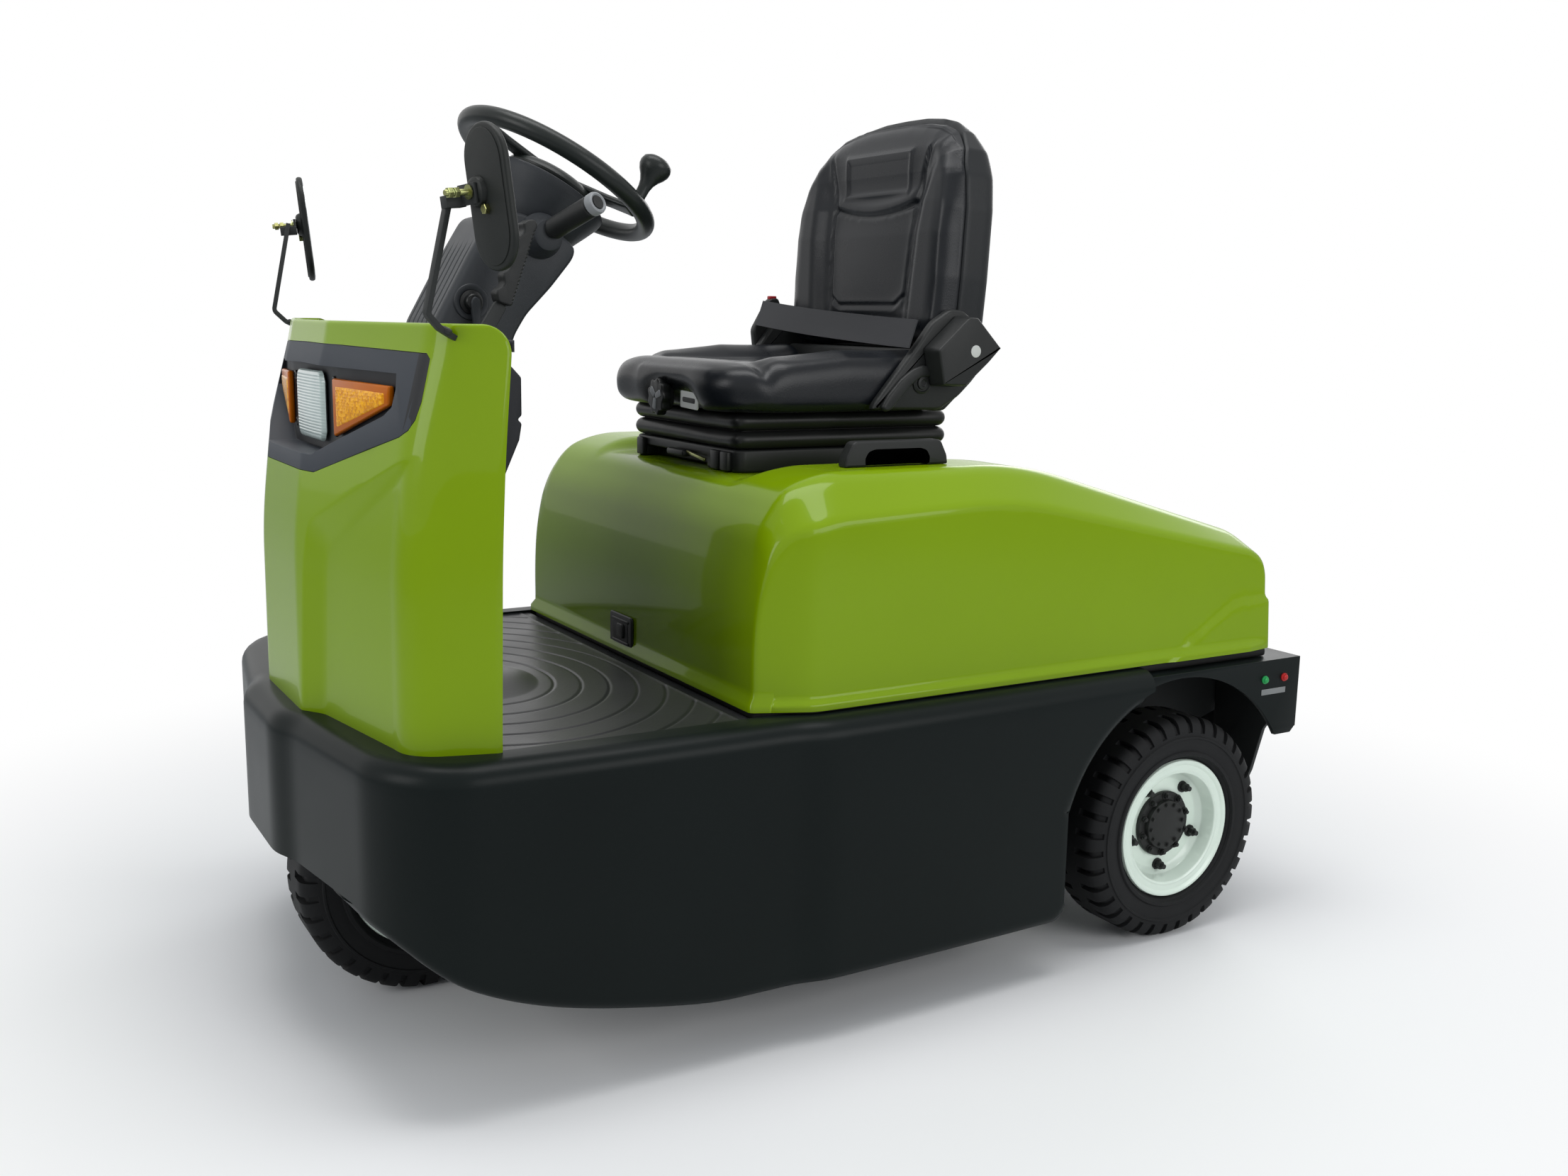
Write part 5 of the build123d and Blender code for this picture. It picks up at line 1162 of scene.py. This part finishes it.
ring_of("stalk_cap", cap, cap_at, cap_grey, "chassis")
key_recess = [(17, 0.2), (25, 0.2), (26, 1.2), (25, 2.6), (22, 3.0), (17.6, 1.2)]
ring_of("key_recess", key_recess, facing(mm(1074, 78, 1037), (0, 1, 0)), column_plastic, "chassis")
key_barrel = [(0, 0), (17, 0), (17, 2), (12, 3), (11.4, 12), (10, 13.5), (0, 14)]
lathe("key_barrel", key_barrel, mm(1074, 78.1, 1037), (0, 1, 0), latch_plastic, "chassis")
pillow("key_lever", [(1066, 1040), (1065, 996), (1069, 993), (1075, 996), (1080, 1038), (1074, 1046)], -96, -87,
       from_left(0), column_plastic, "chassis", soft=2.0, step=2.5)

# Tow plate's wings: the black steel plate reaches out behind each rear wheel and narrows towards its foot.
for side_name, side_y in (("left", 1), ("right", -1)):
    wing = [(303, 440), (432, 440), (432, 345), (416, 322), (395, 241), (384, 215), (303, 215)]
    pillow(f"tow_plate_wing_{side_name}", [(side_y * u, v) for u, v in wing], 0, 8,
           plane((-238, 0, 0), (0, -1, 0), (-1, 0, 0)), powder_black, "chassis", soft=1.2, reach=1)

# Parking brake: a ribbed pull grip with finger waves, on a bent rod from the dash.
grip_foot, grip_up, grip_out = np.array([1044.0, 1030.0]), np.array([-0.331, 0.944]), np.array([0.944, 0.331])
grip_outline = [tuple(grip_foot + grip_up * s + grip_out * (26 - 0.06 * s - 3.2 * math.cos(s * math.pi / 13)))
                for s in np.arange(6, 116, 3.0)]
grip_outline += [tuple(grip_foot + grip_up * s + grip_out * w)
                 for s, w in ((122, 15), (125, 8), (122, 1.5), (116, 0), (6, 0), (1, 2), (0, 18), (1, 22))]


def grip_ribs(rim, height):
    """Ribs across the straight back of the brake grip."""
    run, off = (rim - grip_foot) @ grip_up, (rim - grip_foot) @ grip_out
    return 1.1 * (1 - np.cos(run * 2 * math.pi / 5.6)) * (np.abs(off) < 2.5) * (run > 8) * (run < 114)


pillow("brake_grip", grip_outline, -13, 13, from_left(150), handle_plastic, "chassis", soft=3.0,
       stands_for=("brake_lever",), step=1.4, reach=2, relief=grip_ribs)
pillow("brake_rod", [(1064, 1040), (1048, 1031), (1086, 966), (1127.5, 958), (1127.5, 985), (1096, 990)], -4, 4,
       from_left(150), powder_black, "chassis", soft=1.5)

# Mirrors: black moulded backs with a raised rim, glass facing the driver, each clamped to the tab of a
# bent flat arm by a yellow zinc stud and nuts. The arm's foot is bolted to the cowl's corner.
mirror_plastic = finish("mirror_plastic", (0.011, 0.013, 0.012), 0.46, grain=1200, depth=0.3, mottle=0.2)
silvered = finish("silvered", (0.82, 0.85, 0.86), 0.05, grain=200, depth=0.0, mottle=0.03, spread=0.03, metal=1.0)
rounded("mirror_arms", powder_black, width=0.0018, segments=2, limit=40)
toe, pitch_by, roll_by = math.radians(13), math.radians(5.5), math.radians(4)
nut = [(0, 0), (6.4, 0), (6.4, 5.4), (5.4, 6), (0, 6)]
washer = [(0, 0), (8.6, 0), (8.6, 1.4), (0, 1.4)]
stud = [(0, 0), (3.8, 0), (3.8, 40), (3.2, 41), (0, 41)]
for side_name, side_y in (("left", 1), ("right", -1)):
    across = Vector((-math.sin(toe), math.cos(toe), 0))
    ahead = Vector((math.cos(toe), math.sin(toe), 0)) * math.cos(pitch_by) - Vector((0, 0, math.sin(pitch_by)))
    upward = ahead.cross(across)
    tilt = across * math.cos(roll_by) + upward * math.sin(roll_by)
    stand_turn = [tilt, ahead.cross(tilt), ahead]
    if side_y < 0:
        stand_turn = [Vector((v.x, -v.y, v.z)) for v in stand_turn]
        stand_turn[0] = -stand_turn[0]
    stand = Matrix.Translation(mm(1181, side_y * 455, 1154.5)) @ Matrix(stand_turn).transposed().to_4x4()
    arc = [(42.5 * math.cos(a), 42.5 + 42.5 * math.sin(a)) for a in np.linspace(0, math.pi, 28)]
    arc += [(42.5 * math.cos(a), -42.5 + 42.5 * math.sin(a)) for a in np.linspace(math.pi, 2 * math.pi, 28)]
    inner_arc = [(u * 0.84, v * 0.925) for u, v in arc]
    name = f"mirror_{side_name}"
    pillow(name + "_back", arc, -10, 0, stand, mirror_plastic, "chassis", soft=4.0,
           stands_for=("mirrors",) if side_y > 0 else (), step=4.0, reach=1)
    pillow(name + "_panel", inner_arc, -0.4, 1.4, stand, mirror_plastic, "chassis", soft=0.8, step=4.0,
           reach=1)
    pillow(name + "_glass", inner_arc, -10.8, -9.6, stand, silvered, "chassis", soft=0.5, step=4.0,
           reach=1)
    boss_u = -16 if side_y > 0 else 16
    at = stand @ Vector((boss_u / 1000, 0.008, 0))
    boss = [(0, 0), (19, 0), (18.6, 3), (16.5, 7), (13, 9), (0, 9)]
    lathe(name + "_boss", boss, at, stand.to_3x3().col[2], mirror_plastic, "chassis", steps=40)
    for label, outline, rise, sides in (("stud", stud, 6, 20), ("nut_a", nut, 8.6, 6), ("washer", washer, 14.6, 24),
                                        ("nut_b", nut, 29, 6), ("nut_c", nut, 37.5, 6)):
        lathe(f"{name}_{label}", outline, at + stand.to_3x3().col[2] * rise / 1000, stand.to_3x3().col[2],
              yellow_zinc, "chassis", steps=sides)
    low_at = stand @ Vector(((boss_u + (14 if side_y > 0 else -14)) / 1000, -0.013, 0))
    lathe(name + "_low_nut", nut, low_at + stand.to_3x3().col[2] * 0.0015, stand.to_3x3().col[2], yellow_zinc,
          "chassis", steps=6)
    foot_at = mm(1218, side_y * 400, 999)
    bolt = [(0, 0), (8, 0), (8, 3.5), (6.6, 5.4), (0, 6)]
    lathe(name + "_foot_bolt", bolt, foot_at, (-0.35, 0.25 * side_y, 0.9), powder_black, "chassis",
          steps=24)

# Steering wheel: a steel core in soft black foam, three flat spokes, a plain hub and a spinner knob.
wheel_soft = finish("wheel_soft", (0.013, 0.016, 0.015), 0.32, grain=900, depth=0.2, mottle=0.15, spread=0.05)
wheel_stand = Matrix.Translation(wheel_centre) @ Matrix((wheel_across, wheel_axis.cross(wheel_across),
                                                         wheel_axis)).transposed().to_4x4()
tube = [(150 + 13.5 * math.cos(a), 13.5 * math.sin(a)) for a in np.linspace(0, 2 * math.pi, 25)[:-1]]
ring_of("steering_ring", tube, wheel_stand, wheel_soft, "steering_wheel", steps=120, angle=60)
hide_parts("steering_wheel")
hub = [(0, -25.6), (70, -25.6), (73, -22), (74, -17), (72, -12), (66, -7), (56, -3.4), (38, -1), (20, 0), (0, 0.4)]
lathe("steering_hub", hub, wheel_centre, wheel_axis, wheel_soft, "steering_wheel", steps=72)
for turn_deg in (10, 130, -110):
    turned_stand = wheel_stand @ Matrix.Rotation(math.radians(turn_deg), 4, "Z")
    spoke = [(40, -20), (100, -14), (132, -15), (141, -17), (141, 17), (132, 15), (100, 14), (40, 20)]
    pillow(f"steering_spoke_{turn_deg}", spoke, -11, -1, turned_stand, wheel_soft, "steering_wheel",
           soft=4.0)
knob = [(0, 2), (9, 2), (8.6, 14), (9, 26), (11, 35), (15, 43), (20, 50), (23.4, 57), (24, 63), (22, 69.5), (16, 74),
        (8, 75.6), (0, 76)]
knob_at = wheel_stand @ Vector((0.150 * math.cos(math.radians(124)), 0.150 * math.sin(math.radians(124)), 0))
lathe("spinner_knob", knob, knob_at, wheel_axis, wheel_soft, "steering_wheel", steps=40, angle=60)

# Seat suspension: black pressed base with bolt tabs and a bent release lever, under two soft rolls of
# rubber bellows that sag a little between their corners.
seat_black = finish("seat_black", (0.012, 0.013, 0.013), 0.42, grain=900, depth=0.25, mottle=0.2, patch=18)
rounded("seat_base", seat_black, width=0.004, segments=3, limit=30)
for y in (-150, 118, 150):
    bar(f"seat_base_tab_{y}", (694, y - 12, 789), (703, y + 12, 818), seat_black, "hood", soft=2)
bar("seat_lever_grip", (696, -30, 800), (712, 30, 811), handle_plastic, "hood", soft=4, segments=3)
bar("seat_lever_rod", (701, 28, 802), (706, 92, 807), yellow_zinc, "hood", soft=1.5,
    turn=Matrix.Rotation(math.radians(-7), 3, "X"))
bellows = finish("bellows", (0.011, 0.0115, 0.0115), 0.38, grain=260, depth=0.25, mottle=0.2, patch=20, spread=0.08)
loop = closed_soft([(300, -188), (700, -188), (700, 188), (300, 188)], 6.0, 6)
slope = np.roll(loop, -1, axis=0) - np.roll(loop, 1, axis=0)
loop_out = np.stack([slope[:, 1], -slope[:, 0]], 1)
loop_out /= np.linalg.norm(loop_out, axis=1)[:, None]
points, ring_count = [], 0
angles = np.radians(np.arange(-90, 91, 11.25))
sag = 1.6 * np.sin(loop[:, 0] / 41.0) * np.sin(loop[:, 1] / 57.0)
for low, high in ((822.6, 850.3), (850.9, 878.6)):
    mid, half_h = (low + high) / 2, (high - low) / 2
    for a in angles:
        inset = 15 - 15 * math.cos(a)
        z = mid + half_h * math.sin(a) + sag * math.cos(a) * 0.6
        points.append(np.column_stack([loop - loop_out * inset, z]))
        ring_count += 1
points = np.array(points)
n = len(loop)
faces = [(r * n + k, r * n + (k + 1) % n, (r + 1) * n + (k + 1) % n, (r + 1) * n + k)
         for r in range(ring_count - 1) for k in range(n)]
faces += [tuple(reversed(range(n))), tuple(range((ring_count - 1) * n, ring_count * n))]
own_piece("seat_bellows_made", points.reshape(-1, 3) / 1000.0 + (rear_axle_x, 0, 0), faces, bellows, "hood",
          ("seat_bellows",), angle=75)

# Seat cushion: black vinyl over moulded foam. A thick roll falls over the front edge, the middle lies
# lower between two side rolls, and the vinyl is pinched where each side roll starts.
vinyl = finish("vinyl", (0.0062, 0.0076, 0.0100), 0.28, grain=620, depth=0.3, mottle=0.18, patch=16, spread=0.05,
               shine=0.24)
foot_z = 879.6


def swell(value, low, high):
    """Smooth step from 0 to 1 between two values."""
    share = np.clip((value - low) / (high - low), 0, 1)
    return share * share * (3 - 2 * share)


def swollen(piece, sewn, most, rounds):
    """Runs a pad's cover as cloth under pressure between its sewn and fixed points, and evens the move out
    a number of rounds, so the cover stays taut. Both pads' faces point in, so it draws in by a few mm."""
    scene, mesh = bpy.context.scene, piece.data
    before = np.empty(len(mesh.vertices) * 3)
    mesh.vertices.foreach_get("co", before)
    fixed = piece.vertex_groups.new(name="sewn")
    fixed.add([int(k) for k in np.flatnonzero(sewn)], 1.0, "REPLACE")
    cloth = piece.modifiers.new("swell", "CLOTH")
    cloth.settings.vertex_group_mass = "sewn"
    cloth.settings.quality = 4
    cloth.settings.use_pressure = True
    cloth.settings.uniform_pressure_force = 4.0
    cloth.settings.effector_weights.gravity = 0.0
    cloth.point_cache.frame_start, cloth.point_cache.frame_end = 1, 20
    for number in range(1, 21):
        scene.frame_set(number)
    worn = piece.evaluated_get(bpy.context.evaluated_depsgraph_get()).data
    after = np.empty(len(before))
    worn.vertices.foreach_get("co", after)
    normals = np.empty(len(before))
    mesh.vertex_normals.foreach_get("vector", normals)
    normals = normals.reshape(-1, 3)
    rise = np.clip(((after - before).reshape(-1, 3) * normals).sum(1), 0, 2 * most) * ~sewn
    ends = np.empty(len(mesh.edges) * 2, int)
    mesh.edges.foreach_get("vertices", ends)
    one, other = ends.reshape(-1, 2).T
    degree = np.bincount(ends, minlength=len(rise))
    for _ in range(rounds):
        near = np.bincount(one, rise[other], len(rise)) + np.bincount(other, rise[one], len(rise))
        rise = near / degree * ~sewn
    rise = most * np.tanh(rise / most)
    piece.modifiers.remove(cloth)
    piece.vertex_groups.remove(fixed)
    mesh.vertices.foreach_set("co", before + (normals * rise[:, None]).ravel())
    mesh.update()
    scene.frame_set(1)


def roll_seam(x, y):
    """Distance from the line where the cushion's side roll starts."""
    return np.abs(y) - 150 - 0.02 * (x - 372)


def nose_seam(x, y):
    """Distance from the seam across the cushion, behind its front roll."""
    return x - 652 - 8 * np.cos(y / 95)


def cushion_top(x, y):
    """Height of the cushion's top."""
    middle = np.interp(x, [372, 430, 560, 640, 690, 720, 746], [958, 952, 951, 954, 960, 962, 958])
    roll_top = np.interp(x, [372, 527, 640, 668, 700, 746], [977, 977, 966, 957, 961, 958])
    side = swell(np.abs(y), 138, 190) * (1 - swell(x, 655, 690))
    dent = 7.0 * np.exp(-((x - 668) / 11.0) ** 2 - ((np.abs(y) - 205) / 26.0) ** 2)
    seam = 5.0 * np.exp(-(roll_seam(x, y) / 5.0) ** 2) * (1 - swell(x, 640, 675))
    cross_seam = 4.5 * np.exp(-(nose_seam(x, y) / 5.0) ** 2) * (1 - swell(np.abs(y), 145, 165))
    return middle + (roll_top - middle) * side - dent - seam - cross_seam


def cushion_gap(x, y, z):
    """Signed distance of points outside the cushion."""
    top = (z - cushion_top(x, y)) * 0.93
    width = np.abs(y) - 232
    front_line = 746 - 5.0 * ((z - 925) / 40.0) ** 2
    nose = x - front_line
    gap = blend_max(nose, width, 118)
    gap = blend_max(gap, top, 46)
    gap = blend_max(gap, 372 - x, 26)
    gap = blend_max(gap, foot_z - z, 22)
    # hollow for the weight knob and its scale, in the front
    away = blend_max(np.abs(y - 38) - 98, z - 928, 70)
    hollow_depth = 27 * (1 - swell(away, -34, 14))
    return np.maximum(gap, blend_max(gap, nose + hollow_depth, 10))


def box_mesh(low, high, step):
    """Box with its faces cut into squares of about the given step, in mm."""
    low, high = np.array(low, float), np.array(high, float)
    counts = np.maximum(2, np.round((high - low) / step).astype(int)) + 1
    points, faces = [], []
    for axis in range(3):
        u, v = (axis + 1) % 3, (axis + 2) % 3
        us, vs = np.linspace(low[u], high[u], counts[u]), np.linspace(low[v], high[v], counts[v])
        for end, at in ((0, low[axis]), (1, high[axis])):
            grid = np.zeros((len(us), len(vs), 3))
            grid[:, :, axis], grid[:, :, u], grid[:, :, v] = at, us[:, None], vs[None, :]
            made = grid_faces(len(us), len(vs), sum(len(p) for p in points))
            faces.append(made[:, ::-1] if end else made)
            points.append(grid.reshape(-1, 3))
    points = np.vstack(points)
    unique, index = np.unique(np.round(points, 4), axis=0, return_inverse=True)
    index = np.asarray(index).reshape(-1)
    faces = index[np.vstack(faces)]
    return unique, faces


points, faces = box_mesh((372, -232, foot_z), (746, 232, 970), 6.5)
points = fitted(points, (470, -150, 905), (640, 150, 925), cushion_gap)
cushion = own_piece("seat_cushion_made", points / 1000.0 + (rear_axle_x, 0, 0), faces[:, ::-1], vinyl, "hood",
                    ("seat_cushion",), angle=75)
x, y, z = points.T
held = (z < foot_z + 5) | (np.abs(y) > 224) | (x < 384)
held |= (np.abs(roll_seam(x, y)) < 4.5) & (x < 660) & (z > 930)
# this held line bends the other way from nose_seam, and lies up to 16 mm off it
held |= (np.abs(x - 652 + 8 * np.cos(y / 95)) < 4.5) & (np.abs(y) < 160) & (z > 930)
held |= (x > 690) & (np.abs(y - 38) < 118) & (z < 946)
swollen(cushion, held, 0.004, 6)
soft = cushion.modifiers.new("soft", "SUBSURF")
soft.levels = soft.render_levels = 1

# Weight adjuster: a lobed black knob on a spindle in the cushion's hollow, and a blank scale beside it.
knob_rim = [((28 + 2 * math.cos(9 * a)) * math.cos(a), (28 + 2 * math.cos(9 * a)) * math.sin(a))
            for a in np.linspace(0, 2 * math.pi, 109)[:-1]]
knob_face = plane((722.3, 0, 895), (0, 1, 0), (1, 0, 0))
pillow("seat_knob_rim", knob_rim, 8, 24, knob_face, latch_plastic, "hood", soft=3.0, reach=0,
       stands_for=("seat_knob",))
pillow("seat_knob_disc", [(22 * math.cos(a), 22 * math.sin(a)) for a in np.linspace(0, 2 * math.pi, 49)[:-1]], 0, 9,
       knob_face, seat_black, "hood", soft=1.5, reach=0)
for turn_deg in (20, 140, 260):
    spoke = [(2, -4.5), (20, -6), (20, 6), (2, 4.5)]
    spoke_stand = knob_face @ Matrix.Rotation(math.radians(turn_deg), 4, "Z")
    pillow(f"seat_knob_spoke_{turn_deg}", spoke, 22.8, 25.4, spoke_stand, cap_grey, "hood", soft=1.2,
           reach=1)
scale_white = finish("scale_white", (0.55, 0.56, 0.54), 0.35, grain=700, depth=0.05, mottle=0.05)
scale_face = plane((731, 93, 894), (0, 1, -0.04), (1, 0, 0))
pillow("seat_scale", rectangle(58, 26), 0, 2.6, scale_face, scale_white, "hood", soft=0.8, reach=1)
pillow("seat_scale_slot", rectangle(42, 8), 1.8, 3.0, scale_face, seat_black, "hood", soft=0.5,
       reach=1)

# Seat back: the same vinyl over a moulded pad. Side rolls stand proud of a sewn centre panel, and a plain
# raised frame is pressed into the head of it. A smooth black shell closes the rear, up to 17 mm off the head.
back_lean = math.radians(3.5)
back_stand = (Matrix.Translation(mm(371, 0, 962)) @
              Matrix(((0, -math.sin(back_lean), math.cos(back_lean)), (1, 0, 0),
                      (0, math.cos(back_lean), math.sin(back_lean)))).to_4x4())
back_half = [(0, 16), (203, 16), (219, 26), (228, 60), (231, 130), (230, 240), (223, 292), (206, 333), (180, 363),
             (150, 382), (110, 394), (60, 400.5), (0, 402)]
back_round = back_half[::-1] + [(-y, v) for y, v in back_half[1:-1]]


def seam_depth(v):
    """Depth of the seam between the pad and its rear shell."""
    return -42 - 30 * swell(v, 290, 410)


def panel_edge(v):
    """Half width of the back's centre panel at a height up the back."""
    return np.interp(v, [0, 90, 250, 300, 345, 402], [106, 113, 125, 134, 150, 176])


def foot_seam(away):
    """Height of the seam across the foot of the centre panel."""
    return 84 + 14 * swell(away, 80, 112)


def arc_seam(away):
    """Height of the arched seam under the head."""
    return 233 + 17 * (away / 125.0) ** 2


def frame_edge_gap(away, v):
    """Distance outside the plain raised frame in the head."""
    return np.maximum(away - 94 - 0.02 * (v - 290), np.abs(v - 301) - 32)


def back_front(y, v):
    """Depth of the pad's front face over its own plane, in mm; y is across and v is up the back."""
    away = np.abs(y)
    crest = np.interp(v, [16, 60, 200, 250, 300, 340, 375, 402], [0, 3, 3, -2, -12, -24, -38, -52])
    inner = panel_edge(v)
    side_roll = swell(away, inner - 2, inner + 46)
    hollow_depth = 20 * (1 - swell(v, 262, 350))
    face = crest - hollow_depth * (1 - side_roll)
    # sewn seams: down both sides of the centre, across its foot, and an arc below the head panel
    seam_side = 4.6 * np.exp(-((away - inner) / 4.4) ** 2) * (1 - swell(v, 322, 356)) * swell(v, 72, 96)
    seam_foot = 4.0 * np.exp(-((v - foot_seam(away)) / 4.4) ** 2) * (1 - swell(away, inner - 6, inner))
    arc_line = arc_seam(away)
    seam_arc = 5.5 * np.exp(-((v - arc_line) / 4.8) ** 2) * (1 - swell(away, inner - 5, inner + 1))
    plump = 3.5 * np.clip(1 - (away / 118.0) ** 2, 0, 1) * np.clip(1 - ((v - 165) / 85.0) ** 2, 0, 1)
    puff = 4.0 * np.exp(-((v - arc_line - 16) / 10.0) ** 2) * (1 - swell(away, inner - 20, inner))
    # plain raised frame in the head
    frame_gap = frame_edge_gap(away, v)
    raised = 2.8 * np.exp(-(frame_gap / 3.0) ** 2) - 1.2 * (1 - swell(frame_gap, -8, -3))
    return face - seam_side - seam_foot - seam_arc + plump + puff + raised


def back_gap(y, v, w):
    """Signed distance of points outside the back's pad."""
    rim = outline_gap(y, v, back_round)
    gap = blend_max(rim, (w - back_front(y, v)) * np.interp(v, [250, 402], [0.97, 0.88]), 40)
    return blend_max(gap, seam_depth(v) - w, 4)


points, faces = box_mesh((-231, 16, -44), (231, 402, 2), 3.3)
points = fitted(points, (-150, 70, -40), (150, 290, -36), back_gap)
back = own_piece("seat_back_made", [back_stand @ Vector(p / 1000.0) for p in points], faces[:, ::-1], vinyl, "hood",
                 ("seat_back",), angle=75)
y, v, w = points.T
away = np.abs(y)
inner = panel_edge(v)
sewn = (np.abs(away - inner) < 4) & (v > 84) & (v < 340)
sewn |= (np.abs(v - foot_seam(away)) < 4) & (away < inner)
sewn |= (np.abs(v - arc_seam(away)) < 4.5) & (away < inner)
sewn |= frame_edge_gap(away, v) < 5
sewn |= (w < seam_depth(v) + 6) | (v < 24)
swollen(back, sewn, 0.003, 14)
shell_plastic = finish("shell_plastic", (0.0110, 0.0125, 0.0140), 0.36, grain=900, depth=0.3, mottle=0.18, patch=12)


def shell_gap(y, v, w):
    """Signed distance of points outside the back's rear shell."""
    rim = outline_gap(y, v, back_round)
    gap = blend_max(rim, -105 + 26 * np.clip((v - 300) / 102, 0, 1) ** 2 - w, 22)
    return blend_max(gap, w - seam_depth(v) + 0.4, 5)


points, faces = box_mesh((-231, 16, -105), (231, 402, -43), 6.0)
points = fitted(points, (-170, 70, -90), (170, 320, -84), shell_gap)
own_piece("seat_back_shell_made", [back_stand @ Vector(p / 1000.0) for p in points], faces[:, ::-1], shell_plastic,
          "hood", ("seat_back_shell",), angle=60)

# Seat frame, recliner covers, belt retractor and buckle: black plastic and painted steel beside the
# cushion, with the recliner's lever and pivot on the left and a blank round label on the retractor.
frame_edge = [(345, 879.6), (371, 879.6), (371, 950), (359, 976), (281, 971.5), (281, 935)]
pillow("seat_frame_made", frame_edge, -231.6, 231.6, from_left(0), seat_black, "hood", soft=4.0, reach=1,
       stands_for=("seat_frame",), step=5.0)
cover_plastic = finish("cover_plastic", (0.014, 0.015, 0.015), 0.40, grain=1000, depth=0.35, mottle=0.15)
cover_edge = [(497, 884), (490, 896), (421, 975), (386, 1019), (352, 1040), (325, 1038), (290, 1010), (276, 975),
              (300, 930), (330, 903), (368, 882)]
for side_name, low, high in (("left", -250.3, -232.4), ("right", 232.4, 250.3)):
    pillow(f"seat_cover_{side_name}", cover_edge, low, high, from_left(0), cover_plastic, "hood",
           soft=6.0, stands_for=("seat_side_covers",) if side_name == "left" else (), step=5.0)
lever_edge = [(484, 888), (470, 908), (446, 933), (424, 948), (404, 953), (388, 948), (384, 936), (396, 934),
              (410, 934), (428, 922), (448, 902), (464, 884), (476, 880)]
pillow("recliner_lever", lever_edge, -258, -247, from_left(0), cover_plastic, "hood", soft=4.5,
       step=4.0)
pivot = [(0, 0), (17, 0), (17, 2.4), (14, 4.2), (12.6, 2.8), (10.6, 2.8), (10, 5.6), (6, 6.4), (4.6, 4.8), (0, 4.8)]
lathe("recliner_pivot", pivot, mm(405, 250.3, 925), (0, 1, 0), cover_plastic, "hood", steps=40)
retractor_edge = [(405, 978), (345, 1030), (325, 1030), (274, 980), (300, 955), (345, 918), (392, 920)]


def lean_in(rim, height):
    """Draft of the retractor's moulding: its rim stands in towards the outer face."""
    return np.full(len(rim), 0.1 * (-height - 250.6))


pillow("belt_retractor", retractor_edge, -288.6, -250.6, from_left(0), cover_plastic, "hood", soft=3.5,
       stands_for=("belt_fittings",), step=4.0, reach=1, relief=lean_in)
sticker = [(9.5 * math.cos(a), 9.5 * math.sin(a)) for a in np.linspace(0, 2 * math.pi, 33)[:-1]]
pillow("retractor_label", sticker, -0.3, 0.5, plane((330, 288.6, 975), (1, 0, 0), (0, 1, 0)), scale_white, "hood",
       soft=0.3, reach=0)
buckle_edge = [(420, 962), (425, 1000), (392, 1056), (372, 1058), (362, 1030), (392, 958)]
pillow("belt_buckle", buckle_edge, 250.6, 266.6, from_left(0), cover_plastic, "hood", soft=4.0,
       step=4.0)
buckle_red = finish("buckle_red", (0.35, 0.015, 0.02), 0.35, grain=900, depth=0.1)
bar("buckle_button", (375, -264, 1053), (390, -254, 1061), buckle_red, "hood", soft=1.5)

# Lap belt: black woven webbing pulled across the seat from the retractor to the buckle, a little slack.
webbing = bpy.data.materials.new("webbing")
webbing.use_nodes = True
nodes, links = webbing.node_tree.nodes, webbing.node_tree.links
shader = nodes["Principled BSDF"]
where = nodes.new("ShaderNodeTexCoord")
threads = nodes.new("ShaderNodeTexWave")
threads.bands_direction = "Y"
threads.inputs["Scale"].default_value = 260.0
ribs = nodes.new("ShaderNodeTexWave")
ribs.bands_direction = "Z"
ribs.inputs["Scale"].default_value = 330.0
links.new(where.outputs["Object"], threads.inputs["Vector"])
links.new(where.outputs["Object"], ribs.inputs["Vector"])
weave = nodes.new("ShaderNodeMath")
weave.operation = "MULTIPLY"
links.new(threads.outputs["Fac"], weave.inputs[0])
links.new(ribs.outputs["Fac"], weave.inputs[1])
tint = nodes.new("ShaderNodeMix")
tint.data_type = "RGBA"
tint.inputs["A"].default_value = (0.005, 0.006, 0.009, 1)
tint.inputs["B"].default_value = (0.013, 0.015, 0.021, 1)
links.new(weave.outputs[0], tint.inputs["Factor"])
links.new(tint.outputs["Result"], shader.inputs["Base Color"])
shader.inputs["Roughness"].default_value = 0.62
bump = nodes.new("ShaderNodeBump")
bump.inputs["Strength"].default_value = 0.6
bump.inputs["Distance"].default_value = 0.0005
links.new(weave.outputs[0], bump.inputs["Height"])
links.new(bump.outputs[0], shader.inputs["Normal"])
belt_stand = plane((414, 0, 1014), (0.059 * 0.304, 1, -0.059), (0.957, 0, 0.291))
run = np.linspace(-249, 249, 84)
width = np.linspace(-23, 23, 15)
points = []
for u in run:
    slack = 1 - (u / 249.0) ** 2
    lift = 3.0 + 1.2 * slack * math.sin(u / 60.0)
    for v in width:
        curl = 1.4 * (v / 23.0) ** 2 * (0.5 + 0.5 * math.sin(u / 85.0 + 1))
        points.append(belt_stand @ Vector((u / 1000, (v - 3.5 * slack) / 1000, (lift + curl * 0.6) / 1000)))
mesh_points = [((p.x - rear_axle_x) * 1000, p.y * 1000, p.z * 1000) for p in points]
shell("lap_belt_made", mesh_points, grid_faces(len(run), len(width)), 2.4, webbing, "lap_belt", "hood",
      angle=60)
